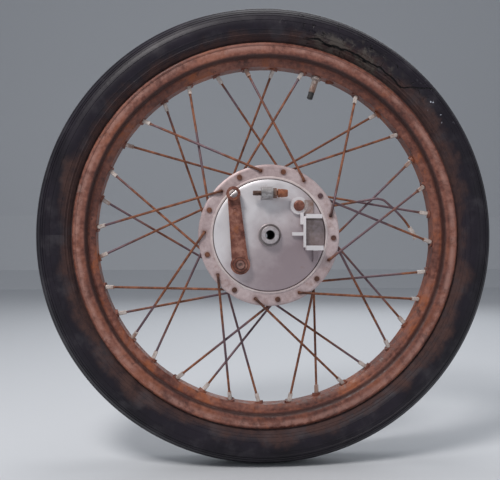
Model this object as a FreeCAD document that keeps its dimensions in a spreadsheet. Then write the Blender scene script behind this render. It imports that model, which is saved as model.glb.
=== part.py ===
import FreeCAD, Part
import math
import os
import Sketcher

# Front wheel of a small motorcycle: tyre, tube, steel rim, wire spokes and a drum-brake hub.
#
# Row frame: the origin is the wheel's centre on the rim's middle plane, +Z is up and the wheel spins
# about +Y. The brake plate is on the -Y side, called near, and the other flange is called far.
# Sketches on the XY plane hold a radius along X and a place along the axle along Y. Sketches on the XZ
# plane look along +Y. Angles on the wheel are counted from +X towards +Z.

Vector = FreeCAD.Vector
Rotation = FreeCAD.Rotation
Placement = FreeCAD.Placement

NEAR = -1
FAR = 1
BESIDE_AXLE = Vector(0, 1, 0)

# Driving dimensions, in millimetres, degrees or counts.
SIZES = {
    # tyre, tube and tape
    "tyre_radius": 276.0,
    "tyre_half_width": 32.5,
    "tyre_widest_radius": 252.0,
    "tyre_crown_thickness": 9.5,
    "tyre_wall": 4.6,
    "shoulder_radius": 268.5,
    "shoulder_half_width": 24.5,
    "bead_radius": 217.4,
    "bead_heel": 20.0,
    "bead_toe": 13.8,
    "neck_radius": 232.6,
    "heel_bend": 2.8,
    "tyre_side_bend": 21.3,
    "tyre_shoulder_bend": 21.1,
    "tyre_inner_bend": 22.9,
    "tyre_crown_bend": 34.0,
    "tyre_crown_inner_bend": 24.0,
    "tread_half_flat": 6.0,
    "bead_lean": 3.4,
    "groove_width": 2.2,
    "groove_depth": 2.6,
    "tube_gap": 0.5,
    "tube_wall": 1.6,
    "tape_radius": 211.2,
    "tape_thickness": 1.0,
    "tape_half_width": 8.6,
    "tube_floor_half_width": 7.4,
    # rim
    "rim_radius": 231.0,
    "rim_sheet": 2.2,
    "rim_bed_radius": 205.5,
    "rim_bed_half_width": 8.5,
    "rim_seat_radius": 214.8,
    "rim_hole_radius": 2.95,
    "rim_dimple_radius": 5.4,
    "rim_hole_offset": 2.5,
    "rim_bead_play": 0.2,
    "rim_well_rise": 6.6,
    "rim_well_spread": 3.6,
    "rim_well_bend": 14.0,
    "rim_shoulder_drop": 3.0,
    "rim_shoulder_bend": 12.0,
    "rim_flange_rise": 4.8,
    "rim_flange_bend": 5.0,
    "rim_lip_height": 4.4,
    "rim_lip_bend": 2.45,
    "rim_lip_drop": 1.3,
    "rim_lip_edge_bend": 1.9,
    "dimple_depth": 2.7,
    "dimple_height": 3.25,
    "nipple_seat": 0.55,
    "nipple_head_play": 0.15,
    # spokes and nipples
    "spoke_radius": 1.45,
    "spoke_bend_radius": 3.2,
    "spoke_head_radius": 3.0,
    "spoke_head_thickness": 1.2,
    "spokes_per_kind": 9,
    "lacing_step": 40.0,
    "nipple_radius": 2.6,
    "nipple_head_radius": 3.9,
    "nipple_head_height": 2.5,
    "nipple_length": 12.4,
    "nipple_square": 4.7,
    "nipple_play": 0.03,
    "nipple_corner": 0.6,
    "nipple_neck": 4.0,
    "nipple_head_lift": 0.6,
    # valve
    "valve_angle": 72.5,
    "valve_radius": 4.0,
    "valve_length": 29.0,
    "valve_foot_radius": 5.1,
    "valve_nut_width": 11.0,
    "valve_nut_height": 3.6,
    "valve_nut_place": 4.2,
    "valve_core_radius": 1.6,
    "valve_foot_thickness": 1.5,
    "valve_cap_length": 11.5,
    # hub
    "flange_radius": 83.0,
    "flange_thickness": 4.5,
    "flange_flat_radius": 79.0,
    "barrel_fillet": 2.2,
    "near_face": -38.0,
    "far_face": 36.0,
    "spoke_circle_radius": 75.8,
    "hub_hole_radius": 1.8,
    "near_hole_angle": 17.5,
    "far_hole_angle": 7.5,
    "barrel_radius": 70.5,
    "mouth_radius": 66.0,
    "mouth_lip": 1.0,
    "web_front": -5.0,
    "web_back": 1.0,
    "hub_boss_radius": 21.5,
    "liner_radius": 62.5,
    "rib_width": 4.0,
    "rib_count": 6,
    "recess_fillet": 5.0,
    "boss_fillet": 3.0,
    "boss_depth": 14.0,
    "flange_chamfer": 0.6,
    "liner_step": 4.8,
    "liner_chamfer": 0.8,
    # axle line
    "axle_bore_radius": 5.1,
    "race_outer_radius": 17.5,
    "race_inner_land": 8.6,
    "race_outer_land": 14.0,
    "race_groove": 1.52,
    "race_groove_radius": 3.1,
    "race_width": 11.0,
    "ball_radius": 3.0,
    "ball_circle_radius": 11.3,
    "ball_count": 7,
    "race_chamfer": 0.5,
    "cage_half_width": 3.9,
    "cage_half_thickness": 0.7,
    "ball_play": 0.15,
    "seal_inner_radius": 12.4,
    "seal_waist_radius": 12.8,
    "seal_near_edge": 5.7,
    "seal_far_edge": 12.2,
    "tube_thickness": 2.6,
    "near_collar_back": -43.2,
    "near_collar_shank": 8.5,
    "far_collar_radius": 12.0,
    "far_collar_nose_radius": 11.0,
    "collar_chamfer": 0.8,
    "near_bearing": -11.5,
    "far_bearing": 25.5,
    "near_end": -49.5,
    "far_end": 50.0,
    # brake plate
    "plate_radius": 65.5,
    "plate_thickness": 4.4,
    "plate_rim_front": -38.8,
    "plate_hub_front": -41.2,
    "collar_radius": 10.4,
    "pivot_reach": 34.3,
    "cam_shaft_radius": 6.0,
    "cam_end_radius": 5.0,
    "cam_play": 0.05,
    "cam_length": 11.0,
    "cam_height": 7.0,
    "anchor_radius": 7.0,
    "anchor_head_radius": 6.4,
    "anchor_shank_radius": 5.0,
    "boss_front": -43.4,
    "boss_back": -32.2,
    "cam_boss_radius": 10.5,
    "anchor_boss_radius": 10.25,
    "hub_lip_front": -45.6,
    "hub_lip_thickness": 1.6,
    "collar_play": 0.3,
    "plate_inside": -38.0,
    "plate_bore_radius": 8.55,
    "plate_bore_front": -43.1,
    "plate_bore_back": -17.8,
    "plate_tube_radius": 12.0,
    "plate_tube_fillet": 4.0,
    "plate_dish": 0.9,
    # brake arm and cable adjuster
    "arm_length": 82.3,
    "arm_lean": 5.65,
    "arm_front": -48.6,
    "arm_back": -44.4,
    "arm_foot_radius": 11.3,
    "arm_eye_radius": 8.2,
    "arm_eye_hole_radius": 4.9,
    "cable_height": 48.2,
    "cable_front": -50.0,
    "screw_radius": 3.0,
    "screw_play": 0.05,
    "cable_wire_radius": 1.5,
    "cable_lug_radius": 7.4,
    "cable_lug_left": -10.5,
    "cable_lug_length": 13.3,
    "screw_tail": -20.0,
    "screw_head_start": 8.6,
    "screw_head_end": 20.0,
    "screw_head_radius": 4.9,
    "casing_radius": 3.1,
    "lock_nut_place": 2.9,
    "lock_nut_half_width": 5.0,
    "lock_nut_height": 4.6,
    "arm_foot_ring_radius": 8.0,
    "arm_foot_ring_height": 2.2,
    "arm_eye_boss_height": 4.6,
    # shoes
    "lining_radius": 61.85,
    "lining_thickness": 4.25,
    "table_thickness": 3.3,
    "web_inner_radius": 43.0,
    "shoe_gap": 0.35,
    "spring_place": 30.0,
    "spring_depth": -16.2,
    "spring_hook_radius": 3.5,
    "hook_hole_radius": 3.2,
    "hook_hole_reach": 39.5,
    "spring_coil_radius": 4.0,
    "spring_wire_radius": 0.9,
    "spring_coils": 14,
}

# Square blocks cast on the brake plate: front face, left, right, bottom and top.
PLATE_BLOCKS = {
    "anchor_pad": (-42.4, 40.6, 51.0, 25.0, 40.0),
    "upper_ear": (-52.0, 41.6, 60.0, 19.5, 24.2),
    "lower_ear": (-52.0, 41.6, 61.6, -17.6, -12.2),
    "stop_wall": (-45.4, 39.2, 42.2, -14.4, 22.0),
    "upper_rib": (-44.2, 35.7, 39.7, 12.4, 26.0),
    "middle_rib": (-44.2, 26.0, 40.0, -0.6, 3.4),
    "lower_rib": (-43.4, 51.0, 56.6, -31.5, -16.0),
}
for block, numbers in PLATE_BLOCKS.items():
    for face, number in zip(("front", "left", "right", "bottom", "top"), numbers):
        SIZES[f"{block}_{face}"] = number

# The tyre's grooves: place from the middle plane, and how far the crown has dropped there.
GROOVES = ((0.0, 0.0), (7.0, 0.2), (14.0, 2.2), (20.5, 5.6))

document = FreeCAD.newDocument("spoked_wheel")
sheet = document.addObject("Spreadsheet::Sheet", "Sizes")
for row, (alias, number) in enumerate(SIZES.items(), start=1):
    sheet.set(f"A{row}", alias)
    sheet.set(f"B{row}", str(number))
    sheet.setAlias(f"B{row}", alias)
document.recompute()


class Size:
    """A number together with the sheet formula that gives it."""

    def __init__(self, value, formula):
        self.value = value
        self.formula = formula

    def __add__(self, other):
        other = size(other)
        return Size(self.value + other.value, f"({self.formula} + {other.formula})")

    def __sub__(self, other):
        other = size(other)
        return Size(self.value - other.value, f"({self.formula} - {other.formula})")

    def __mul__(self, other):
        other = size(other)
        return Size(self.value * other.value, f"({self.formula} * {other.formula})")

    def __truediv__(self, other):
        other = size(other)
        return Size(self.value / other.value, f"({self.formula} / {other.formula})")

    def __neg__(self):
        return Size(-self.value, f"(0 - {self.formula})")

    __radd__ = __add__
    __rmul__ = __mul__

    def __rsub__(self, other):
        return size(other) - self


def size(thing):
    """Turn a plain number into a Size and leave a Size alone."""
    if isinstance(thing, Size):
        return thing
    return Size(float(thing), f"({float(thing)})")


def cell(alias):
    return Size(float(sheet.get(alias)), f"Sizes.{alias}")


def cosine(angle):
    angle = size(angle)
    return Size(math.cos(math.radians(angle.value)), f"cos({angle.formula})")


def sine(angle):
    angle = size(angle)
    return Size(math.sin(math.radians(angle.value)), f"sin({angle.formula})")


def polar(radius, angle):
    """A point at a radius and an angle, as two sizes."""
    return cosine(angle) * radius, sine(angle) * radius


def bind(thing, name, value):
    thing.setExpression(name, size(value).formula)


# Sketch helpers


def bind_constraint(sketch, constraint, value):
    """Add a dimension to a sketch and bind it to its formula."""
    index = sketch.addConstraint(constraint)
    name = f"d{index}"
    sketch.renameConstraint(index, name)
    bind(sketch, f"Constraints.{name}", value)


def pin_point(sketch, edge, end, x, y):
    """Fix one end of a sketch edge at two distances from the origin."""
    for kind, value, axis in (("DistanceX", x, -2), ("DistanceY", y, -1)):
        value = size(value)
        if value.value == 0.0:
            sketch.addConstraint(Sketcher.Constraint("PointOnObject", edge, end, axis))
        else:
            constraint = Sketcher.Constraint(kind, -1, 1, edge, end, value.value)
            bind_constraint(sketch, constraint, value)


def circle(sketch, x, y, radius):
    x, y, radius = size(x), size(y), size(radius)
    centre = Vector(x.value, y.value, 0)
    edge = sketch.addGeometry(Part.Circle(centre, Vector(0, 0, 1), radius.value), False)
    pin_point(sketch, edge, 3, x, y)
    bind_constraint(sketch, Sketcher.Constraint("Radius", edge, radius.value), radius)


def arc_between(start, end, bend):
    """An arc of radius |bend| from start to end. A positive bend turns left on the way."""
    chord = end - start
    half = chord.Length / 2
    sagitta = abs(bend) - math.sqrt(max(bend * bend - half * half, 0.0))
    side = Vector(chord.y, -chord.x, 0).normalize() * math.copysign(sagitta, bend)
    middle = start + chord * 0.5 + side
    if bend < 0:
        return Part.Arc(end, middle, start)
    return Part.Arc(start, middle, end)


def outline(sketch, corners):
    """Close a loop through corners. A corner's third item is the bend of the arc that arrives at it."""
    first = len(sketch.Geometry)
    count = len(corners)
    points = [Vector(size(c[0]).value, size(c[1]).value, 0) for c in corners]
    for i in range(count):
        arriving = corners[(i + 1) % count]
        start, end = points[i], points[(i + 1) % count]
        if len(arriving) == 3:
            sketch.addGeometry(arc_between(start, end, size(arriving[2]).value), False)
        else:
            sketch.addGeometry(Part.LineSegment(start, end), False)
    # an arc drawn clockwise is stored from its end to its start
    starts = []
    ends = []
    for i in range(count):
        bend = corners[(i + 1) % count][2] if len(corners[(i + 1) % count]) == 3 else 1
        backwards = size(bend).value < 0
        starts.append(2 if backwards else 1)
        ends.append(1 if backwards else 2)
    for i in range(count):
        following = (i + 1) % count
        sketch.addConstraint(
            Sketcher.Constraint("Coincident", first + i, ends[i], first + following, starts[following])
        )
        pin_point(sketch, first + i, starts[i], corners[i][0], corners[i][1])
        if len(corners[following]) == 3:
            bend = size(corners[following][2])
            radius = bend if bend.value > 0 else -bend
            constraint = Sketcher.Constraint("Radius", first + i, radius.value)
            bind_constraint(sketch, constraint, radius)


# Feature helpers


def add_body(label):
    body = document.addObject("PartDesign::Body", label)
    body.Label = label
    body.AllowCompound = True
    return body


def origin_part(body, role):
    for feature in body.Origin.OriginFeatures:
        if feature.Role == role:
            return feature
    raise ValueError(role)


def add_sketch(body, name, role="XY_Plane", offset=None):
    sketch = body.newObject("Sketcher::SketchObject", f"{body.Name}_{name}")
    sketch.AttachmentSupport = [(origin_part(body, role), "")]
    sketch.MapMode = "FlatFace"
    if offset is not None:
        sketch.AttachmentOffset = offset
    return sketch


def add_turned(body, name, corners, offset=None, axis="V_Axis"):
    """Turn an outline about the sketch's own axis."""
    sketch = add_sketch(body, f"{name}_profile", offset=offset)
    outline(sketch, corners)
    turned = body.newObject("PartDesign::Revolution", f"{body.Name}_{name}")
    turned.Profile = sketch
    turned.ReferenceAxis = (sketch, [axis])
    turned.Angle = 360
    return turned


def add_slab(body, name, front, back, draw):
    """Pad a drawing square to the axle, from back towards the near side as far as front."""
    sketch = add_sketch(body, f"{name}_outline", "XZ_Plane")
    bind(sketch, "AttachmentOffset.Base.z", -size(back))
    draw(sketch)
    pad = body.newObject("PartDesign::Pad", f"{body.Name}_{name}")
    pad.Profile = sketch
    bind(pad, "Length", size(back) - front)
    return pad


def add_cut(body, name, front, back, draw):
    """Pocket a drawing square to the axle, from front towards the far side as far as back."""
    sketch = add_sketch(body, f"{name}_outline", "XZ_Plane")
    bind(sketch, "AttachmentOffset.Base.z", -size(front))
    draw(sketch)
    pocket = body.newObject("PartDesign::Pocket", f"{body.Name}_{name}")
    pocket.Profile = sketch
    bind(pocket, "Length", size(back) - front)
    return pocket


def add_cross_bar(body, name, left, length, draw, cut=False):
    """Pad or pocket a drawing on the YZ plane along X, from left over a length."""
    sketch = add_sketch(body, f"{name}_outline", "YZ_Plane")
    kind = "PartDesign::Pocket" if cut else "PartDesign::Pad"
    start = size(left) + length if cut else size(left)
    bind(sketch, "AttachmentOffset.Base.z", start)
    draw(sketch)
    bar = body.newObject(kind, f"{body.Name}_{name}")
    bar.Profile = sketch
    bind(bar, "Length", length)
    return bar


def add_ring_of(body, name, originals, count, step=None):
    """Repeat features round the wheel's axis, all the way or at a stated step."""
    ring = body.newObject("PartDesign::PolarPattern", f"{body.Name}_{name}")
    ring.Originals = originals
    ring.Axis = (origin_part(body, "Y_Axis"), [""])
    if step is None:
        ring.Angle = 360
    else:
        ring.Mode = "Spacing"
        bind(ring, "Offset", step)
    bind(ring, "Occurrences", count)
    body.Tip = ring
    return ring


def mirrored_profile(half):
    """Corners of a half outline with positive Y, followed by its mirror image below."""
    below = []
    for i in range(len(half) - 1, -1, -1):
        corner = (half[i][0], -size(half[i][1]))
        arriving = half[i + 1] if i + 1 < len(half) else ()
        if len(arriving) == 3:
            corner = corner + (arriving[2],)
        below.append(corner)
    return list(half) + below


# Rubber parts on the rim


def make_tyre():
    body = add_body("tyre")
    crown = cell("tyre_radius")
    widest = cell("tyre_half_width")
    heel_bend = cell("heel_bend")
    add_turned(body, "casing", mirrored_profile([
        (crown - cell("tyre_crown_thickness"), cell("tread_half_flat")),
        (cell("tyre_widest_radius"), widest - cell("tyre_wall"), cell("tyre_crown_inner_bend")),
        (cell("neck_radius"), cell("bead_toe") + cell("bead_lean"), cell("tyre_inner_bend")),
        (cell("bead_radius"), cell("bead_toe")),
        (cell("bead_radius"), cell("bead_heel") - heel_bend),
        (cell("bead_radius") + heel_bend, cell("bead_heel"), -heel_bend),
        (cell("neck_radius"), cell("bead_heel")),
        (cell("tyre_widest_radius"), widest, -cell("tyre_side_bend")),
        (cell("shoulder_radius"), cell("shoulder_half_width"), -cell("tyre_shoulder_bend")),
        (crown, cell("tread_half_flat"), -cell("tyre_crown_bend")),
    ]))
    # circumferential ribs are left standing between these grooves
    sketch = add_sketch(body, "grooves_profile")
    half = cell("groove_width") / 2
    for place, drop in GROOVES:
        floor = crown - drop - cell("groove_depth")
        for middle in sorted({place, -place}):
            outline(sketch, [
                (floor, middle - half),
                (crown + 2, middle - half),
                (crown + 2, middle + half),
                (floor, middle + half),
            ])
    grooves = body.newObject("PartDesign::Groove", "tyre_grooves")
    grooves.Profile = sketch
    grooves.ReferenceAxis = (sketch, ["V_Axis"])
    grooves.Angle = 360


def valve_frame():
    """The valve's own frame: its X axis points from the axle to the valve hole."""
    return Placement(Vector(), Rotation(BESIDE_AXLE, -cell("valve_angle").value))


def cut_valve_hole(body, radius, inner, outer):
    sketch = add_sketch(body, "valve_hole_profile", offset=valve_frame())
    outline(sketch, [(inner, 0), (outer, 0), (outer, radius), (inner, radius)])
    hole = body.newObject("PartDesign::Groove", f"{body.Name}_valve_hole")
    hole.Profile = sketch
    hole.ReferenceAxis = (sketch, ["H_Axis"])
    hole.Angle = 360


def tube_corners(gap):
    """Half of the tube's section, a gap inside the tyre and the rim well."""
    floor = cell("tape_radius") + cell("tape_thickness")
    side = cell("tyre_half_width") - cell("tyre_wall") - gap
    return [
        (cell("tyre_radius") - cell("tyre_crown_thickness") - gap, cell("tread_half_flat")),
        (cell("tyre_widest_radius"), side, cell("tyre_crown_inner_bend")),
        (cell("neck_radius"), cell("bead_toe") + cell("bead_lean") - gap, cell("tyre_inner_bend")),
        (cell("bead_radius") + 1, cell("bead_toe") - gap - 0.6),
        (floor + gap, cell("tube_floor_half_width") - gap),
    ]


def make_tube():
    body = add_body("inner_tube")
    sketch = add_sketch(body, "skin_profile")
    outline(sketch, mirrored_profile(tube_corners(cell("tube_gap"))))
    outline(sketch, mirrored_profile(tube_corners(cell("tube_gap") + cell("tube_wall"))))
    skin = body.newObject("PartDesign::Revolution", "inner_tube_skin")
    skin.Profile = sketch
    skin.ReferenceAxis = (sketch, ["V_Axis"])
    skin.Angle = 360
    floor = cell("tape_radius") + cell("tape_thickness") + cell("tube_gap")
    cut_valve_hole(body, cell("valve_radius"), floor - 2, floor + cell("tube_wall") + 1)


def make_tape():
    body = add_body("rim_tape")
    inner = cell("tape_radius")
    outer = inner + cell("tape_thickness")
    add_turned(body, "band", mirrored_profile([
        (inner, cell("tape_half_width") - 1),
        (inner + 0.3, cell("tape_half_width")),
        (outer, cell("tape_half_width")),
    ]))
    cut_valve_hole(body, cell("valve_radius") + 0.4, inner - 2, outer + 2)


# Rim, spokes and nipples


class SpokeKind:
    """Where one kind of spoke runs, from its hub hole to its seat in the rim."""

    def __init__(self, label, side, hub_angle, turn, elbow_outside, count=None):
        self.label = label
        self.side = side
        self.count = cell("spokes_per_kind") if count is None else size(count)
        outer = cell("near_face") if side == NEAR else cell("far_face")
        inner = outer - side * cell("flange_thickness")
        if elbow_outside:
            self.heading = side
            self.head_face = inner
            self.bend_start = outer - side * 0.95
        else:
            self.heading = -side
            self.head_face = outer
            self.bend_start = inner + side * 0.7
        hub = cell("spoke_circle_radius")
        seat = cell("rim_bed_radius") + cell("rim_sheet") / 2
        hub_angle = size(hub_angle)
        rim_angle = hub_angle + turn
        self.hub_x, self.hub_z = polar(hub, hub_angle)
        rim_x, rim_z = polar(seat, rim_angle)
        self.rim_y = side * cell("rim_hole_offset")
        across = Vector((rim_x - self.hub_x).value, 0, (rim_z - self.hub_z).value)
        squared = hub * hub + seat * seat - 2 * hub * seat * cosine(turn)
        self.reach = Size(math.sqrt(squared.value), f"sqrt({squared.formula})")
        self.across = across.normalize()
        self.frame = Placement(
            Vector(self.hub_x.value, 0, self.hub_z.value),
            Rotation(BESIDE_AXLE, -math.degrees(math.atan2(self.across.z, self.across.x))),
        )
        self.seat = Vector(rim_x.value, self.rim_y.value, rim_z.value)
        self.find_bend()

    def find_bend(self):
        """Where the bend ends and which way the spoke then runs, in the spoke's own plane."""
        radius = cell("spoke_bend_radius").value
        self.centre = Vector(radius, self.bend_start.value, 0)
        to_seat = Vector(self.reach.value, self.rim_y.value, 0) - self.centre
        swing = math.acos(radius / to_seat.Length) * self.heading
        self.exit_angle = math.atan2(to_seat.y, to_seat.x) + swing
        rise = Vector(math.cos(self.exit_angle), math.sin(self.exit_angle), 0)
        self.exit = self.centre + rise * radius
        run = (Vector(self.reach.value, self.rim_y.value, 0) - self.exit).normalize()
        self.direction = self.across * run.x + BESIDE_AXLE * run.y
        self.sideways = self.across * -run.y + BESIDE_AXLE * run.x

    def along(self, distance):
        """A frame on the spoke's line with X along it, a distance beyond the seat."""
        turn = Rotation(self.direction, self.sideways, Vector(), "XYZ")
        return Placement(self.seat + self.direction * distance, turn)

    def square_to(self, distance):
        """A frame on the spoke's line with Z along it, a distance beyond the seat."""
        turn = Rotation(self.sideways, Vector(), self.direction, "ZXY")
        return Placement(self.seat + self.direction * distance, turn)


def draw_bent_path(sketch, kind):
    """Straight through the flange, round the elbow and straight to the rim."""
    radius = cell("spoke_bend_radius")
    head = kind.head_face - kind.heading * cell("spoke_head_thickness") / 2
    start = Vector(0, head.value, 0)
    bend = Vector(0, kind.bend_start.value, 0)
    seat = Vector(kind.reach.value, kind.rim_y.value, 0)
    shank = sketch.addGeometry(Part.LineSegment(start, bend), False)
    round_part = Part.Circle(kind.centre, Vector(0, 0, 1), radius.value)
    if kind.heading < 0:
        turn = Part.ArcOfCircle(round_part, math.pi, kind.exit_angle + 2 * math.pi)
        entry, leave = 1, 2
    else:
        turn = Part.ArcOfCircle(round_part, kind.exit_angle, math.pi)
        entry, leave = 2, 1
    elbow = sketch.addGeometry(turn, False)
    run = sketch.addGeometry(Part.LineSegment(kind.exit, seat), False)
    pin_point(sketch, shank, 1, 0, head)
    pin_point(sketch, shank, 2, 0, kind.bend_start)
    sketch.addConstraint(Sketcher.Constraint("Tangent", shank, 2, elbow, entry))
    sketch.addConstraint(Sketcher.Constraint("Tangent", elbow, leave, run, 1))
    bind_constraint(sketch, Sketcher.Constraint("Radius", elbow, radius.value), radius)
    pin_point(sketch, run, 2, kind.reach, kind.rim_y)


def add_spoke_head(body, kind):
    """The flat head that stops a spoke at its flange."""
    head_end = kind.head_face - kind.heading * cell("spoke_head_thickness")
    front, back = (kind.head_face, head_end) if kind.heading < 0 else (head_end, kind.head_face)
    return add_slab(body, "head", front, back, lambda sketch: circle(
        sketch, kind.hub_x, kind.hub_z, cell("spoke_head_radius")))


def add_wire(body, name, path, x, z, start, radius):
    """Sweep a round wire along a path that starts square to the XZ plane."""
    section = add_sketch(body, f"{name}_section", "XZ_Plane")
    bind(section, "AttachmentOffset.Base.z", -size(start))
    circle(section, x, z, radius)
    document.recompute()
    wire = body.newObject("PartDesign::AdditivePipe", f"{body.Name}_{name}")
    wire.Profile = section
    wire.Spine = (path, [f"Edge{i + 1}" for i in range(len(path.Geometry))])
    return wire


def make_spokes(kind):
    body = add_body(f"spokes_{kind.label}")
    head = add_spoke_head(body, kind)
    path = add_sketch(body, "path", offset=kind.frame)
    draw_bent_path(path, kind)
    start = kind.head_face - kind.heading * cell("spoke_head_thickness") / 2
    wire = add_wire(body, "wire", path, kind.hub_x, kind.hub_z, start, cell("spoke_radius"))
    add_ring_of(body, "lacing", [head, wire], kind.count, cell("lacing_step"))


def draw_nipple_square(sketch):
    """A square with its corners taken off, and the spoke's hole."""
    half = cell("nipple_square") / 2
    corner = half - cell("nipple_corner")
    outline(sketch, [
        (half, -corner), (half, corner), (corner, half), (-corner, half),
        (-half, corner), (-half, -corner), (-corner, -half), (corner, -half),
    ])
    circle(sketch, 0, 0, cell("spoke_radius") + cell("nipple_play"))


def nipple_head_corners():
    """Half section of the nipple's round neck and head, along the spoke."""
    hole = cell("spoke_radius") + cell("nipple_play")
    neck = cell("nipple_neck")
    bottom = cell("nipple_head_lift")
    top = bottom + cell("nipple_head_height")
    head = cell("nipple_head_radius")
    return [
        (-neck, hole),
        (top, hole),
        (top, head - 1.2),
        (top - 1, head),
        (bottom, head),
        (bottom, cell("nipple_radius")),
        (-neck, cell("nipple_radius")),
    ]


def make_nipples(kind):
    body = add_body(f"nipples_{kind.label}")
    top = add_turned(body, "head", nipple_head_corners(), offset=kind.along(0), axis="H_Axis")
    sketch = add_sketch(body, "square_outline", offset=kind.square_to(-cell("nipple_length").value))
    draw_nipple_square(sketch)
    square = body.newObject("PartDesign::Pad", f"{body.Name}_square")
    square.Profile = sketch
    bind(square, "Length", cell("nipple_length") - cell("nipple_neck"))
    add_ring_of(body, "lacing", [top, square], kind.count, cell("lacing_step"))


def make_rim(kinds):
    body = add_body("rim")
    bed = cell("rim_bed_radius")
    half_bed = cell("rim_bed_half_width")
    seat = cell("rim_seat_radius")
    thick = cell("rim_sheet")
    edge = cell("rim_radius")
    wall = cell("bead_heel") + cell("rim_bead_play")
    heel_bend = cell("heel_bend")
    add_turned(body, "section", mirrored_profile([
        # outside of the sheet, from the bed up the well wall and the flange to its rolled lip
        (bed, half_bed),
        (bed + cell("rim_well_rise"), half_bed + cell("rim_well_spread"), -cell("rim_well_bend")),
        (seat, wall - cell("rim_shoulder_drop"), cell("rim_shoulder_bend")),
        (seat + cell("rim_flange_rise"), wall + thick, -cell("rim_flange_bend")),
        (edge - cell("rim_lip_height"), wall + thick + 0.2),
        (edge, wall + cell("rim_lip_drop"), -cell("rim_lip_bend")),
        (edge - cell("rim_lip_edge_bend"), wall, -cell("rim_lip_edge_bend")),
        # inside of the sheet, where the tyre's bead sits
        (seat + thick + heel_bend, wall),
        (seat + thick, wall - heel_bend, heel_bend),
        (seat + thick, cell("bead_toe") - 0.9),
        (bed + 8.0, half_bed + 2.0),
        (bed + thick, half_bed - 1.0),
    ]))
    # each spoke hole has a punched dimple that faces along its spoke
    seat_place = cell("nipple_seat")
    for kind in kinds:
        low = kind.square_to(-cell("dimple_depth").value)
        sketch = add_sketch(body, f"{kind.label}_dimple_outline", offset=low)
        circle(sketch, 0, 0, cell("rim_dimple_radius"))
        dimple = body.newObject("PartDesign::Pad", f"rim_{kind.label}_dimple")
        dimple.Profile = sketch
        bind(dimple, "Length", cell("dimple_height"))
        hole = cell("rim_hole_radius")
        recess = cell("nipple_head_radius") + cell("nipple_head_play")
        sketch = add_sketch(body, f"{kind.label}_hole_profile", offset=kind.along(0))
        outline(sketch, [
            (-6, 0), (6, 0), (6, recess), (seat_place, recess), (seat_place, hole), (-6, hole),
        ])
        drilled = body.newObject("PartDesign::Groove", f"rim_{kind.label}_hole")
        drilled.Profile = sketch
        drilled.ReferenceAxis = (sketch, ["H_Axis"])
        drilled.Angle = 360
        add_ring_of(body, f"{kind.label}_holes", [dimple, drilled], cell("spokes_per_kind"))
    cut_valve_hole(body, cell("valve_radius") + 0.2, bed - 3, bed + 6)


# Valve


def valve_body(label):
    body = add_body(label)
    body.Placement = valve_frame()
    return body


def make_valve():
    bed = cell("rim_bed_radius")
    tip = bed - cell("valve_length")
    foot = cell("tape_radius") + cell("tape_thickness") + cell("tube_gap")
    radius = cell("valve_radius")
    core = cell("valve_core_radius")
    inside = foot + cell("tube_wall") + 0.1
    foot_radius = cell("valve_foot_radius")
    top = inside + cell("valve_foot_thickness")
    stem = valve_body("valve_stem")
    add_turned(stem, "stem", [
        (tip + 6, core), (tip + 6, 2.6), (tip + 7, radius - 1.0), (tip + 12, radius - 1.0),
        (tip + 13, radius), (inside, radius), (inside, foot_radius), (top, foot_radius - 0.4),
        (top, core),
    ], axis="H_Axis")
    inner = valve_body("valve_core")
    add_turned(inner, "core", [
        (tip + 5, 0), (tip + 24, 0), (tip + 24, core - 0.1), (tip + 5, core - 0.1),
    ], axis="H_Axis")
    cap = valve_body("valve_cap")
    skirt = tip + cell("valve_cap_length")
    add_turned(cap, "cap", [
        (tip, 0), (tip, 2.6), (tip + 0.8, 3.4), (skirt, radius - 0.2), (skirt, radius - 0.9),
        (tip + 6.5, radius - 0.9), (tip + 5.6, 2.8), (tip + 4, 2.4), (tip + 4, 0),
    ], axis="H_Axis")
    nut = valve_body("valve_nut")
    sketch = add_sketch(nut, "hexagon", "YZ_Plane")
    bind(sketch, "AttachmentOffset.Base.z", bed - cell("valve_nut_place"))
    draw_hexagon(sketch, 0, 0, cell("valve_nut_width") / 2)
    circle(sketch, 0, 0, radius + 0.05)
    hexagon = nut.newObject("PartDesign::Pad", "valve_nut_hexagon")
    hexagon.Profile = sketch
    bind(hexagon, "Length", cell("valve_nut_height"))


def draw_hexagon(sketch, x, y, half_width):
    """A hexagon by half its width across flats."""
    corner = half_width / math.cos(math.pi / 6)
    places = [polar(corner, 30 + 60 * side) for side in range(6)]
    outline(sketch, [(place[0] + x, place[1] + y) for place in places])


# Hub and bearings


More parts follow.
